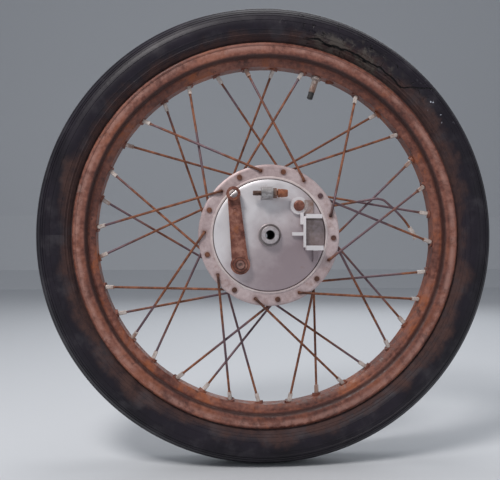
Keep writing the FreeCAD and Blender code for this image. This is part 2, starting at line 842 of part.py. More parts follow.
def make_hub():
    body = add_body("hub_shell")
    near = cell("near_face")
    far = cell("far_face")
    thick = cell("flange_thickness")
    edge = cell("flange_radius")
    flat = cell("flange_flat_radius")
    barrel = cell("barrel_radius")
    fillet = cell("barrel_fillet")
    mouth = cell("mouth_radius")
    race = cell("race_outer_radius")
    boss = cell("hub_boss_radius")
    half_race = cell("race_width") / 2
    chamfer = cell("flange_chamfer")
    recess = cell("recess_fillet")
    boss_fillet = cell("boss_fillet")
    add_turned(body, "shell", [
        (mouth, near - cell("mouth_lip")),
        (mouth + 1.8, near - cell("mouth_lip")),
        (mouth + 2.6, near),
        (flat, near),
        (edge - chamfer, near + 1.6),
        (edge, near + 2.2),
        (edge, near + thick - chamfer),
        (flat, near + thick),
        (barrel + fillet, near + thick),
        (barrel, near + thick + fillet, -fillet),
        (barrel, far - thick - fillet),
        (barrel + fillet, far - thick, -fillet),
        (flat, far - thick),
        (edge, far - thick + chamfer),
        (edge, far - 2.2),
        (edge - chamfer, far - 1.6),
        (flat, far),
        (mouth + 0.5, far),
        (mouth - 0.5, far - 1),
        (mouth - 0.5, cell("web_back") + recess),
        (mouth - 0.5 - recess, cell("web_back"), -recess),
        (boss + 1 + boss_fillet, cell("web_back")),
        (boss + 1, cell("web_back") + boss_fillet, -boss_fillet),
        (boss, far + 1),
        (boss - 1, far + 2),
        (race, far + 2),
        (race, cell("far_bearing") - half_race),
        (race - 3, cell("far_bearing") - half_race),
        (race - 3, cell("near_bearing") + half_race),
        (race, cell("near_bearing") + half_race),
        (race, near + cell("boss_depth")),
        (boss, near + cell("boss_depth")),
        (boss + 1, cell("web_front") - boss_fillet),
        (boss + 1 + boss_fillet, cell("web_front"), -boss_fillet),
        (mouth, cell("web_front")),
    ])
    ribs = add_slab(body, "rib", cell("web_back") - 0.5, far - 12, lambda sketch: outline(sketch, [
        (boss - 1, cell("rib_width") / -2), (mouth, cell("rib_width") / -2),
        (mouth, cell("rib_width") / 2), (boss - 1, cell("rib_width") / 2),
    ]))
    add_ring_of(body, "ribs", [ribs], cell("rib_count"))
    for label, face, side, phase in (
        ("near", near, NEAR, cell("near_hole_angle")),
        ("far", far, FAR, cell("far_hole_angle")),
    ):
        x, z = polar(cell("spoke_circle_radius"), phase)
        outside = face + side * 2
        inside = face - side * (thick + 2)
        front, back = (outside, inside) if side == NEAR else (inside, outside)
        hole = add_cut(body, f"{label}_hole", front, back, lambda sketch: circle(
            sketch, x, z, cell("hub_hole_radius")))
        add_ring_of(body, f"{label}_holes", [hole], cell("spokes_per_kind") * 2)


def make_liner():
    body = add_body("drum_liner")
    front = cell("near_face") + cell("liner_step")
    chamfer = cell("liner_chamfer")
    inner = cell("liner_radius")
    outer = cell("mouth_radius")
    back = cell("web_front")
    add_turned(body, "liner", [
        (inner + chamfer, front), (outer - 0.6, front), (outer, front + 0.6), (outer, back),
        (inner, back), (inner, front + chamfer),
    ])


def make_bearing(label, middle):
    """One ball bearing as four pieces: outer race, inner race, balls and cage."""
    half = cell("race_width") / 2
    groove = cell("race_groove")
    bend = cell("race_groove_radius")
    outer = add_body(f"{label}_outer_race")
    rim_radius = cell("race_outer_radius")
    land = cell("race_outer_land")
    chamfer = cell("race_chamfer")
    add_turned(outer, "ring", [
        (land, middle - half), (rim_radius - chamfer, middle - half),
        (rim_radius, middle - half + chamfer), (rim_radius, middle + half - chamfer),
        (rim_radius - chamfer, middle + half), (land, middle + half),
        (land, middle + groove), (land, middle - groove, -bend),
    ])
    inner = add_body(f"{label}_inner_race")
    land = cell("race_inner_land")
    bore = cell("axle_bore_radius")
    add_turned(inner, "ring", [
        (bore, middle - half), (land, middle - half), (land, middle - groove),
        (land, middle + groove, -bend), (land, middle + half), (bore, middle + half),
    ])
    balls = add_body(f"{label}_balls")
    ball = balls.newObject("PartDesign::AdditiveSphere", f"{label}_ball")
    place_ball(balls, ball, middle, cell("ball_radius"))
    add_ring_of(balls, "set", [ball], cell("ball_count"))
    cage = add_body(f"{label}_cage")
    circle_radius = cell("ball_circle_radius")
    thin = cell("cage_half_thickness")
    wide = cell("cage_half_width")
    add_turned(cage, "band", [
        (circle_radius - thin, middle - wide), (circle_radius + thin, middle - wide),
        (circle_radius + thin, middle + wide), (circle_radius - thin, middle + wide),
    ])
    window = cell("ball_radius") + cell("ball_play")
    pocket = add_cross_bar(cage, "window", circle_radius - 3, 6, lambda sketch: circle(
        sketch, middle, 0, window), cut=True)
    add_ring_of(cage, "windows", [pocket], cell("ball_count"))


def place_ball(body, ball, middle, radius):
    ball.AttachmentSupport = [(origin_part(body, "XY_Plane"), "")]
    ball.MapMode = "FlatFace"
    bind(ball, "AttachmentOffset.Base.x", cell("ball_circle_radius"))
    bind(ball, "AttachmentOffset.Base.y", middle)
    bind(ball, "Radius", radius)


def make_seal(label, inner_end, outer_end):
    """A rubber ring pressed into the hub's boss, with a lip that narrows towards the shaft."""
    body = add_body(f"{label}_dust_seal")
    outer = cell("race_outer_radius")
    add_turned(body, "ring", [
        (outer, inner_end), (outer, outer_end), (outer - 3, outer_end),
        (cell("seal_waist_radius"), (inner_end + outer_end) / 2), (cell("seal_inner_radius"), inner_end),
    ])


def make_axle_line():
    """The pieces clamped on the axle: distance tube and the collars at both ends."""
    bore = cell("axle_bore_radius")
    half = cell("race_width") / 2
    tube = add_body("distance_tube")
    left = cell("near_bearing") + half
    right = cell("far_bearing") - half
    outer = bore + cell("tube_thickness")
    add_turned(tube, "tube", [(bore, left), (outer, left), (outer, right), (bore, right)])
    near = add_body("near_collar")
    end = cell("near_end")
    wide = cell("collar_radius")
    back = cell("near_collar_back")
    shank = cell("near_collar_shank")
    chamfer = cell("collar_chamfer")
    add_turned(near, "collar", [
        (bore + 0.5, end), (wide - chamfer, end), (wide, end + chamfer), (wide, back), (shank, back),
        (shank, cell("near_bearing") - half), (bore, cell("near_bearing") - half), (bore, end + 0.5),
    ])
    far = add_body("far_collar")
    start = cell("far_bearing") + half
    end = cell("far_end")
    wide = cell("far_collar_radius")
    nose = cell("far_collar_nose_radius")
    add_turned(far, "collar", [
        (bore, start), (wide, start), (wide, end - 4), (nose, end - 3), (nose, end - chamfer),
        (nose - chamfer, end),
        (bore + 0.5, end), (bore, end - 0.5),
    ])


# Brake plate


def draw_cam_side(radius):
    reach = cell("pivot_reach")
    return lambda sketch: circle(sketch, -reach, -reach, radius)


def draw_anchor_side(radius):
    reach = cell("pivot_reach")
    return lambda sketch: circle(sketch, reach, reach, radius)


def draw_box(left, right, bottom, top):
    return lambda sketch: outline(sketch, [(left, bottom), (right, bottom), (right, top), (left, top)])


def make_plate():
    body = add_body("brake_plate")
    rim_front = cell("plate_rim_front")
    hub_front = cell("plate_hub_front")
    thick = cell("plate_thickness")
    edge = cell("plate_radius")
    wide = cell("collar_radius") + cell("collar_play")
    bore = cell("plate_bore_radius")
    lip = cell("hub_lip_front")
    lip_edge = wide + cell("hub_lip_thickness")
    sleeve = cell("plate_tube_radius")
    fillet = cell("plate_tube_fillet")
    inside = cell("plate_inside")
    add_turned(body, "disc", [
        (bore, cell("plate_bore_front")),
        (wide, cell("plate_bore_front")),
        (wide, lip),
        (lip_edge, lip),
        (lip_edge + 0.6, lip + 0.6),
        (lip_edge + 1.4, hub_front),
        (edge - 5, rim_front - cell("plate_dish")),
        (edge - 0.8, rim_front),
        (edge, rim_front + 0.8),
        (edge, rim_front + thick),
        (edge - 2, rim_front + thick),
        (edge - 4, rim_front + thick - 1.2),
        (sleeve + fillet, hub_front + thick + 0.6),
        (sleeve, hub_front + thick + 0.6 + fillet, -fillet),
        (sleeve, cell("plate_bore_back")),
        (bore, cell("plate_bore_back")),
    ])
    front = cell("boss_front")
    back = cell("boss_back")
    add_slab(body, "cam_boss", front, back, draw_cam_side(cell("cam_boss_radius")))
    add_slab(body, "anchor_boss", front, back, draw_anchor_side(cell("anchor_boss_radius")))
    # the pad beside the anchor, then the torque stop: two ears, the wall between them and the ribs
    # that carry its load into the plate
    for block in PLATE_BLOCKS:
        add_slab(body, block, cell(f"{block}_front"), inside, draw_box(
            cell(f"{block}_left"), cell(f"{block}_right"), cell(f"{block}_bottom"), cell(f"{block}_top")))
    # the floor between the ears is cut flat, out through the plate's edge
    add_cut(body, "stop_floor", -42.0, -38.6, draw_box(42.4, 66.0, -12.1, 19.4))
    # lug for the cable adjuster, rounded about the screw's axis
    height = cell("cable_height")
    axis = cell("cable_front")
    lug = cell("cable_lug_radius")
    left = cell("cable_lug_left")
    length = cell("cable_lug_length")
    add_cross_bar(body, "cable_lug", left, length, lambda sketch: outline(sketch, [
        (inside, height - lug), (inside, height + lug), (axis, height + lug),
        (axis - lug, height, lug), (axis, height - lug, lug),
    ]))
    add_cross_bar(body, "cable_lug_hole", -12, 16, lambda sketch: circle(
        sketch, axis, height, cell("screw_radius") + cell("screw_play")), cut=True)
    add_cut(body, "cam_hole", -50, -25, draw_cam_side(cell("cam_shaft_radius") + cell("cam_play")))
    add_cut(body, "anchor_hole", -50, -25, draw_anchor_side(cell("anchor_shank_radius")))


def make_anchor_pin():
    reach = cell("pivot_reach").value
    body = add_body("anchor_pin")
    head = cell("anchor_head_radius")
    shank = cell("anchor_shank_radius")
    pin = cell("anchor_radius")
    front = cell("boss_front")
    back = cell("boss_back")
    add_turned(body, "pin", [
        (0, front - 2.6), (head - 2, front - 2.6), (head, front - 1.2, 3.0), (head, front), (shank, front),
        (shank, back), (pin, back), (pin, -10.2), (pin - 1, -9.2), (0, -9.2),
    ])
    body.Placement = Placement(Vector(reach, 0, reach), Rotation())


def make_adjuster():
    """Hollow screw for the cable's outer casing, and the nut that locks it in its lug."""
    height = cell("cable_height").value
    front = cell("cable_front").value
    place = Placement(Vector(0, front, height), Rotation())
    wire = cell("cable_wire_radius")
    thread = cell("screw_radius")
    tail = cell("screw_tail")
    start = cell("screw_head_start")
    end = cell("screw_head_end")
    head = cell("screw_head_radius")
    casing = cell("casing_radius")
    screw = add_body("cable_adjuster")
    add_turned(screw, "screw", [
        (tail, wire), (tail, thread - 0.5), (tail + 0.5, thread), (start, thread), (start, head),
        (end - 6, head), (end, head - 0.9), (end, casing), (end - 8, casing), (end - 8, wire),
    ], axis="H_Axis")
    screw.Placement = place
    nut = add_body("adjuster_lock_nut")
    sketch = add_sketch(nut, "hexagon", "YZ_Plane")
    bind(sketch, "AttachmentOffset.Base.z", cell("lock_nut_place"))
    draw_hexagon(sketch, 0, 0, cell("lock_nut_half_width"))
    circle(sketch, 0, 0, thread + 0.02)
    pad = nut.newObject("PartDesign::Pad", "adjuster_lock_nut_hexagon")
    pad.Profile = sketch
    bind(pad, "Length", cell("lock_nut_height"))
    nut.Placement = place


# Cam and arm


def cam_place(turn):
    reach = cell("pivot_reach").value
    return Placement(Vector(-reach, 0, -reach), Rotation(BESIDE_AXLE, turn))


def make_camshaft():
    body = add_body("camshaft")
    end = cell("cam_end_radius")
    shaft = cell("cam_shaft_radius")
    front = cell("arm_front") - 4.0
    add_turned(body, "shaft", [
        (0, front + 1.4), (1.6, front + 1.4), (2.5, front), (end - 0.4, front), (end, front + 0.4),
        (end, cell("arm_back") + 0.2), (shaft, cell("arm_back") + 0.2), (shaft, -29), (0, -29),
    ])
    # the cam has two flats for the shoes and round ends, so it lifts them as soon as it turns
    half_long = cell("cam_length")
    half_high = cell("cam_height")
    flat = half_long - half_high
    add_slab(body, "cam", -31.0, -9.5, lambda sketch: outline(sketch, [
        (flat, -half_high), (half_long, 0, half_high), (flat, half_high, half_high),
        (-flat, half_high), (-half_long, 0, half_high), (-flat, -half_high, half_high),
    ]))
    body.Placement = cam_place(-45)


def make_arm():
    body = add_body("brake_arm")
    length = cell("arm_length")
    foot = cell("arm_foot_radius")
    eye = cell("arm_eye_radius")
    foot_x, foot_z = polar(foot, 34)
    eye_x, eye_z = polar(eye, -32)
    front = cell("arm_front")
    back = cell("arm_back")
    add_slab(body, "lever", front, back, lambda sketch: outline(sketch, [
        (foot_x, foot_z, foot), (eye_x, length + eye_z), (0, length + eye, eye),
        (-eye_x, length + eye_z, eye), (-foot_x, foot_z), (0, -foot, foot),
    ]))
    ring_front = front - cell("arm_foot_ring_height")
    ring = cell("arm_foot_ring_radius")
    boss_front = front - cell("arm_eye_boss_height")
    add_slab(body, "foot_ring", ring_front, front + 1, lambda sketch: circle(sketch, 0, 0, ring))
    add_slab(body, "eye_boss", boss_front, front + 1, lambda sketch: circle(sketch, 0, length, eye - 0.2))
    add_cut(body, "foot_hole", front - 6, back + 2, lambda sketch: circle(
        sketch, 0, 0, cell("cam_end_radius")))
    add_cut(body, "eye_hole", front - 8, back + 2, lambda sketch: circle(
        sketch, 0, length, cell("arm_eye_hole_radius")))
    add_cut(body, "dimple", front - 1, front + 0.8, lambda sketch: circle(sketch, 0, length - 18.5, 2.0))
    body.Placement = cam_place(-cell("arm_lean").value)


# Shoes and springs, drawn with X towards the anchor and turned to its place


def shoe_place():
    return Placement(Vector(), Rotation(BESIDE_AXLE, -45))


def to_side(corners, side):
    """Mirror corners and bends across the line from the cam to the anchor."""
    return [
        (c[0], size(c[1]) * side) + ((size(c[2]) * side,) if len(c) == 3 else ())
        for c in corners
    ]


def band_corners(inner, outer, start):
    """A band of an arc from a start angle to the same angle before the far end."""
    finish = 180 - start
    return [
        (*polar(outer, start),),
        (0, outer, outer),
        (*polar(outer, finish), outer),
        (*polar(inner, finish),),
        (0, inner, -inner),
        (*polar(inner, start), -inner),
    ]


def web_corners():
    reach = cell("pivot_reach") * math.sqrt(2)
    notch = cell("anchor_radius") + cell("shoe_gap")
    outer = cell("lining_radius") - cell("lining_thickness") - 0.6
    inner = cell("web_inner_radius")
    toe = cell("cam_height") + cell("shoe_gap")
    notch_x, notch_z = polar(notch, 5)
    heel_x, heel_z = polar(inner, 23)
    return [
        (reach + notch_x, notch_z, -notch),
        (*polar(outer, 8),),
        (0, outer, outer),
        (-outer + 0.5, toe, outer),
        (-40.0, toe),
        (-heel_x, heel_z),
        (0, inner, -inner),
        (heel_x, heel_z, -inner),
        (reach - notch_x, notch_z),
    ]


def make_shoe(label, side):
    shoe = add_body(f"{label}_shoe")
    outer = cell("lining_radius") - cell("lining_thickness")
    table = outer - cell("table_thickness")
    add_slab(shoe, "table", -31.0, -8.0, lambda sketch: outline(
        sketch, to_side(band_corners(table, outer, 22), side)))
    add_slab(shoe, "web", -22.0, -17.4, lambda sketch: outline(sketch, to_side(web_corners(), side)))
    for place in (-1, 1):
        name = "toe_hole" if place < 0 else "heel_hole"
        add_cut(shoe, name, -24, -15, lambda sketch: circle(
            sketch, cell("spring_place") * place, cell("hook_hole_reach") * side, cell("hook_hole_radius")))
    shoe.Placement = shoe_place()
    lining = add_body(f"{label}_lining")
    add_slab(lining, "band", -30.0, -9.0, lambda sketch: outline(
        sketch, to_side(band_corners(outer, cell("lining_radius"), 27), side)))
    lining.Placement = shoe_place()


def make_spring(label, along):
    """A close-wound return spring: stacked coils, with a hook at each end through the shoes' webs."""
    body = add_body(f"{label}_spring")
    wire = cell("spring_wire_radius")
    coil = cell("spring_coil_radius")
    count = int(cell("spring_coils").value)
    pitch = wire * 2
    low = pitch * (-count / 2)
    outside = [(coil + 0.2, low)] + [(coil + 0.2, low + pitch * (i + 1), 0.93) for i in range(count)]
    inside = [(coil - 0.2, low + pitch * count)]
    inside += [(coil - 0.2, low + pitch * (count - 1 - i), 0.93) for i in range(count)]
    add_turned(body, "coils", outside + inside)
    for name, place in (("low_end", low - 0.6), ("high_end", -low - 0.4)):
        add_turned(body, name, [(0, place), (coil, place), (coil, place + 1.0), (0, place + 1.0)])
    for end in (-1, 1):
        name = "low_hook" if end < 0 else "high_hook"
        path = add_sketch(body, f"{name}_path", "YZ_Plane")
        start = low * -end + (-0.5 * end)
        draw_hook(path, start, size(36.0) * end, end)
        add_wire(body, name, path, 0, 0, start, wire)
    body.Placement = Placement(Vector(), Rotation(BESIDE_AXLE, -45)) * Placement(
        Vector(cell("spring_place").value * along, cell("spring_depth").value, 0),
        Rotation(Vector(1, 0, 0), 90))


def draw_hook(path, start, turn, end):
    """A straight wire and a half turn through the web, on the plane of the spring and the axle."""
    radius = cell("spring_hook_radius")
    straight = path.addGeometry(Part.LineSegment(Vector(start.value, 0, 0), Vector(turn.value, 0, 0)), False)
    middle = Vector(turn.value, radius.value, 0)
    loop = Part.Circle(middle, Vector(0, 0, 1), radius.value)
    if end > 0:
        half = Part.ArcOfCircle(loop, -math.pi / 2, math.pi / 2)
        first, last = 1, 2
    else:
        half = Part.ArcOfCircle(loop, math.pi / 2, 3 * math.pi / 2)
        first, last = 2, 1
    hook = path.addGeometry(half, False)
    pin_point(path, straight, 1, start, 0)
    pin_point(path, straight, 2, turn, 0)
    path.addConstraint(Sketcher.Constraint("Tangent", straight, 2, hook, first))
    bind_constraint(path, Sketcher.Constraint("Radius", hook, radius.value), radius)
    across = Sketcher.Constraint("DistanceX", -1, 1, hook, last, turn.value)
    bind_constraint(path, across, turn)


# The spoke that has come out of the rim


def make_bent_spoke(kind):
    """A far spoke pulled out of its rim hole and bent, with its nipple still on its thread."""
    radius = cell("spoke_radius").value
    start = Vector(kind.hub_x.value, 36.0, kind.hub_z.value)
    route = [
        start,
        Vector(kind.hub_x.value, 29.0, kind.hub_z.value),
        Vector(139.0, 7.0, 46.6),
        Vector(147.5, 5.5, 44.8),
        Vector(161.0, 4.0, 32.4),
        Vector(173.7, 3.0, 18.7),
        Vector(184.5, 2.0, 2.0),
    ]
    bends = [3.2, 14.0, 12.0, 60.0, 70.0]
    wire = round_wire(route, bends, radius)
    head = Part.makeCylinder(cell("spoke_head_radius").value, cell("spoke_head_thickness").value,
                             Vector(start.x, 36.0, start.z), BESIDE_AXLE)
    add_feature("bent_spoke", wire.fuse(head).removeSplitter())
    direction = (route[-1] - route[-2]).normalize()
    tail = cell("nipple_length").value
    half = cell("nipple_square").value / 2
    hole = radius + cell("nipple_play").value
    base = route[-1] - direction * (tail - 3)
    square = Part.makeBox(2 * half, 2 * half, tail - 4, Vector(-half, -half, 0))
    neck = Part.makeCylinder(cell("nipple_radius").value, 4.6, Vector(0, 0, tail - 4))
    top = Part.makeCylinder(cell("nipple_head_radius").value, cell("nipple_head_height").value,
                            Vector(0, 0, tail + 0.6))
    bore = Part.makeCylinder(hole, tail + 10, Vector(0, 0, -2))
    nipple = square.fuse(neck).fuse(top).cut(bore).removeSplitter()
    nipple.Placement = Placement(base, Rotation(Vector(0, 0, 1), direction))
    add_feature("loose_nipple", nipple)


def round_wire(route, bends, radius):
    """A round bar along straight runs joined by tangent arcs."""
    edges = []
    last = route[0]
    for i in range(1, len(route) - 1):
        back = (route[i - 1] - route[i]).normalize()
        on = (route[i + 1] - route[i]).normalize()
        turn = math.pi - back.getAngle(on)
        cut = bends[i - 1] * math.tan(turn / 2)
        entry = route[i] + back * cut
        leave = route[i] + on * cut
        centre = route[i] + (back + on).normalize() * (bends[i - 1] / math.cos(turn / 2))
        middle = centre + (route[i] - centre).normalize() * bends[i - 1]
        edges.append(Part.LineSegment(last, entry).toShape())
        edges.append(Part.Arc(entry, middle, leave).toShape())
        last = leave
    edges.append(Part.LineSegment(last, route[-1]).toShape())
    path = Part.Wire(edges)
    section = Part.Wire(Part.makeCircle(radius, route[0], route[1] - route[0]))
    bar = path.makePipeShell([section], True, False)
    return bar


def add_feature(label, shape):
    feature = document.addObject("Part::Feature", label)
    feature.Label = label
    feature.Shape = shape
    return feature


def main():
    lacing = cell("lacing_step")
    near_angle = cell("near_hole_angle")
    far_angle = cell("far_hole_angle")
    kinds = [
        SpokeKind("near_outer", NEAR, near_angle, lacing, True),
        SpokeKind("near_inner", NEAR, near_angle + lacing / 2, -lacing, False),
        SpokeKind("far_outer", FAR, far_angle, -lacing, True),
        SpokeKind("far_inner", FAR, far_angle - lacing / 2, lacing, False, cell("spokes_per_kind") - 1),
    ]
    make_tyre()
    make_tube()
    make_tape()
    make_rim(kinds)
    make_valve()
    for kind in kinds:
        make_spokes(kind)
        make_nipples(kind)
    make_bent_spoke(SpokeKind("loose", FAR, far_angle + lacing / 2, lacing, False))
    make_hub()
    make_liner()
    make_bearing("near", cell("near_bearing"))
    make_bearing("far", cell("far_bearing"))
    inner_edge = cell("seal_near_edge")
    outer_edge = cell("seal_far_edge")
    make_seal("near", cell("near_bearing") - inner_edge, cell("near_bearing") - outer_edge)
    make_seal("far", cell("far_bearing") + inner_edge, cell("far_bearing") + outer_edge)
    make_axle_line()
    make_plate()
    make_anchor_pin()
    make_adjuster()
    make_camshaft()
    make_arm()
    make_shoe("upper", 1)
    make_shoe("lower", -1)
    make_spring("cam_side", -1)
    make_spring("anchor_side", 1)
    document.recompute()
    write_parts()


def write_parts():
    """Check every object, then write one file for each sub-part."""
    faults = []
    for thing in document.Objects:
        if "Invalid" in thing.State or "Error" in thing.State:
            faults.append(f"{thing.Name}: {thing.State}")
    parts = [
        thing for thing in document.Objects
        if thing.TypeId in ("PartDesign::Body", "Part::Feature")
    ]
    for part in parts:
        if part.Shape.isNull() or not part.Shape.isValid():
            faults.append(f"{part.Name}: shape")
    if faults:
        raise RuntimeError("; ".join(faults))
    os.makedirs("parts", exist_ok=True)
    for part in parts:
        part.Shape.exportStep(f"parts/{part.Label}.step")
        print(f"{part.Label}: {len(part.Shape.Solids)} solids, {part.Shape.Volume:.1f} mm3")


main()
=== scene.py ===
import bpy
import math
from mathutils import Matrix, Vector


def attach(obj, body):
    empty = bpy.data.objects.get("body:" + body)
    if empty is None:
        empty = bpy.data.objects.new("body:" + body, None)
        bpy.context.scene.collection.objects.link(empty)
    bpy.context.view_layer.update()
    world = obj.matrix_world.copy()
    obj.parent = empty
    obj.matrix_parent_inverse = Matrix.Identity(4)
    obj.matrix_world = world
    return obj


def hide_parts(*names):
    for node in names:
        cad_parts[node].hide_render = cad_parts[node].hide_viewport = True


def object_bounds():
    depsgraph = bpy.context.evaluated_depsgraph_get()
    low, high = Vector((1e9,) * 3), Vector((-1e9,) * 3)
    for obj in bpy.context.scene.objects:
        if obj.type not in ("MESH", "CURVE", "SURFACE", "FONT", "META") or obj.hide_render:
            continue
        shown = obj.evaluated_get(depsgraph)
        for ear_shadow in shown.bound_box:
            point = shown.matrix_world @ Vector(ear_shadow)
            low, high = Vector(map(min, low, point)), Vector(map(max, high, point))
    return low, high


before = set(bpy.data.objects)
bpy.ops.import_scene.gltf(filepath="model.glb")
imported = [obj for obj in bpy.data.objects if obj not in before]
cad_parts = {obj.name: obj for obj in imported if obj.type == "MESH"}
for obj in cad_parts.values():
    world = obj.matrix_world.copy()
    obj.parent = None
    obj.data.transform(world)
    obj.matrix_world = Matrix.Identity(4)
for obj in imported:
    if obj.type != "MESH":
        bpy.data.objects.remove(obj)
cad_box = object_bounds()
bpy.ops.object.select_all(action="DESELECT")

# ---------------------------------------------------------------------------------------------
# Studio. A pale floor that curves up behind the wheel, a soft key light high on the left in front,
# a weaker one on the right and two behind. The camera stands in front of the brake plate, a
# little left of the axle, as far off as a person holds a camera.

floor_height = cad_box[0].z - 0.0006
bpy.ops.mesh.primitive_plane_add(size=6.0, location=(0, 0, floor_height))
floor = bpy.context.object
floor.name = "studio_floor"
bpy.ops.object.mode_set(mode="EDIT")
bpy.ops.mesh.select_mode(type="EDGE")
bpy.ops.mesh.select_all(action="DESELECT")
bpy.ops.object.mode_set(mode="OBJECT")
for edge in floor.data.edges:
    edge.select = all(floor.data.vertices[end].co.y > 2.9 for end in edge.vertices)
bpy.ops.object.mode_set(mode="EDIT")
for rise in ((0, 0.30, 0.10), (0, 0.15, 0.35), (0, 0, 3.5)):
    bpy.ops.mesh.extrude_region_move(TRANSFORM_OT_translate={"value": rise})
bpy.ops.object.mode_set(mode="OBJECT")
bpy.ops.object.transform_apply(location=True, rotation=True, scale=True)
floor_finish = bpy.data.materials.new("pale_floor")
floor_finish.use_nodes = True
floor_shader = floor_finish.node_tree.nodes["Principled BSDF"]
floor_shader.inputs["Base Color"].default_value = (0.60, 0.62, 0.65, 1)
floor_shader.inputs["Roughness"].default_value = 0.85
floor.data.materials.append(floor_finish)

world = bpy.data.worlds.new("soft_room")
world.use_nodes = True
world.node_tree.nodes["Background"].inputs["Color"].default_value = (0.84, 0.88, 0.95, 1)
world.node_tree.nodes["Background"].inputs["Strength"].default_value = 0.30
bpy.context.scene.world = world
bpy.context.scene.view_settings.view_transform = "Standard"


def soft_light(name, place, width, power, colour):
    """A square area light that points at the wheel's centre."""
    bpy.ops.object.light_add(type="AREA", location=place)
    lamp = bpy.context.object
    lamp.name = name
    lamp.data.size = width
    lamp.data.energy = power
    lamp.data.color = colour
    lamp.rotation_mode = "QUATERNION"
    lamp.rotation_quaternion = Vector(place).to_track_quat("Z", "Y")


soft_light("key_light", (-0.70, -1.05, 1.45), 0.50, 27, (1.0, 0.97, 0.95))
soft_light("fill_light", (1.4, -1.3, 0.1), 1.2, 3.5, (0.93, 0.96, 1.0))
soft_light("top_light", (0.1, 0.2, 1.5), 0.9, 7, (1.0, 1.0, 1.0))
soft_light("back_light", (0.4, 1.6, 0.9), 1.2, 9, (0.96, 0.98, 1.0))

camera_data = bpy.data.cameras.new("front_view")
camera = bpy.data.objects.new("front_view", camera_data)
bpy.context.collection.objects.link(camera)
camera_data.lens = 45.86
camera_data.sensor_width = 36.0
camera_data.dof.use_dof = False
camera.location = (-0.067, -0.780, -0.010)
camera.rotation_euler = (math.radians(90.33), 0, math.radians(-3.42))
bpy.context.scene.camera = camera

# ---------------------------------------------------------------------------------------------
# Tyre. Vulcanised black rubber with circumferential ribs over its tread and shoulders, old and
# dry: brown dust lies beside the rim, and the upper right sidewall has hardened, flaked and
# cracked. Its beads hold it inside the rim's flanges.

MM = 0.001


def spin_round(name, points, centre, axis, steps):
    """Extrude a closed section vertex by vertex, then spin it a whole turn."""
    bpy.ops.object.select_all(action="DESELECT")
    bpy.ops.mesh.primitive_plane_add(size=MM, location=(0, 0, 0))
    piece = bpy.context.object
    piece.name = name
    bpy.ops.object.mode_set(mode="EDIT")
    bpy.ops.mesh.select_mode(type="VERT")
    bpy.ops.mesh.select_all(action="SELECT")
    bpy.ops.mesh.merge(type="CENTER")
    bpy.ops.transform.translate(value=points[0])
    for last, following in zip(points, points[1:] + points[:1]):
        bpy.ops.mesh.extrude_region_move(TRANSFORM_OT_translate={"value": following - last})
    bpy.ops.mesh.select_all(action="SELECT")
    bpy.ops.mesh.remove_doubles(threshold=0.00001)
    bpy.ops.mesh.spin(steps=steps, angle=math.tau, center=centre, axis=axis)
    bpy.ops.mesh.select_all(action="SELECT")
    bpy.ops.mesh.remove_doubles(threshold=0.00001)
    bpy.ops.mesh.normals_make_consistent(inside=False)
    bpy.ops.object.mode_set(mode="OBJECT")
    bpy.ops.object.shade_smooth_by_angle(angle=math.radians(32))
    return piece


def round_wheel(name, section, steps):
    """A section of radius and place along the axle, in millimetres, spun about the axle."""
    points = [Vector((radius * MM, along * MM, 0)) for radius, along in section]
    return spin_round(name, points, (0, 0, 0), (0, 1, 0), steps)


def arc_points(centre, radius, start, end, count):
    """Points on an arc from one angle to another, in degrees."""
    points = []
    for i in range(count + 1):
        angle = math.radians(start + (end - start) * i / count)
        points.append((centre[0] + radius * math.cos(angle), centre[1] + radius * math.sin(angle)))
    return points


def grooved_arc(centre, radius, start, end, grooves):
    """An arc whose angle falls from start to end, with grooves (or ribs, if their depth is negative)."""
    marks = [(start, 0.0), (end, 0.0)]
    taken = []
    for middle, half_width, depth in grooves:
        half = math.degrees(half_width / radius)
        taken.append((middle - half, middle + half))
        for share, drop in ((1, 0.0), (0.72, 0.85), (0.45, 1.0), (-0.45, 1.0), (-0.72, 0.85), (-1, 0.0)):
            marks.append((middle + half * share, depth * drop))
    angle = start
    while angle > end:
        if not any(low - 0.6 < angle < high + 0.6 for low, high in taken):
            marks.append((angle, 0.0))
        angle -= 3.0
    points = []
    for angle, depth in sorted(set(marks), reverse=True):
        turn = math.radians(angle)
        reach = radius - depth
        points.append((centre[0] + reach * math.cos(turn), centre[1] + reach * math.sin(turn)))
    return points


def tyre_section():
    """The casing's section: inside from crown to bead, then outside back to the crown, then mirrored."""
    inside = [(266.5, 0.0), (266.5, 6.0), (262.5, 16.5), (257.5, 23.8), (252.0, 27.9)]
    inside += [(245.5, 27.0), (239.0, 23.4), (232.6, 17.2), (217.4, 13.8), (217.4, 17.2)]
    heel = arc_points((220.2, 17.2), 2.8, 180, 90, 4)[1:]
    side = [(228.0, 20.0), (232.2, 20.0)]
    side += grooved_arc((252.0, 11.2), 21.3, 155.6, 90.0, [(138.0, 0.8, -0.55), (128.0, 0.8, -0.55), (112.0, 0.5, -0.3)])
    shoulder = grooved_arc((252.0, 11.4), 21.1, 89.0, 40.0, [(82.0, 0.5, -0.35), (66.0, 0.5, -0.35), (57.0, 0.6, 0.7), (47.0, 0.6, 0.8)])
    tread = grooved_arc((242.1, 3.04), 34.0, 38.5, 5.5, [(30.9, 1.1, 2.6), (18.8, 1.1, 2.6), (8.6, 1.1, 2.6)])
    tread += [(276.0, 5.4), (276.0, 1.2), (275.7, 1.0), (273.4, 0.9), (273.4, 0.0)]
    half = inside + heel + side + shoulder + tread
    return half + [(radius, -along) for radius, along in reversed(half[1:-1])]


tyre_casing = round_wheel("tyre_casing", tyre_section(), 288)


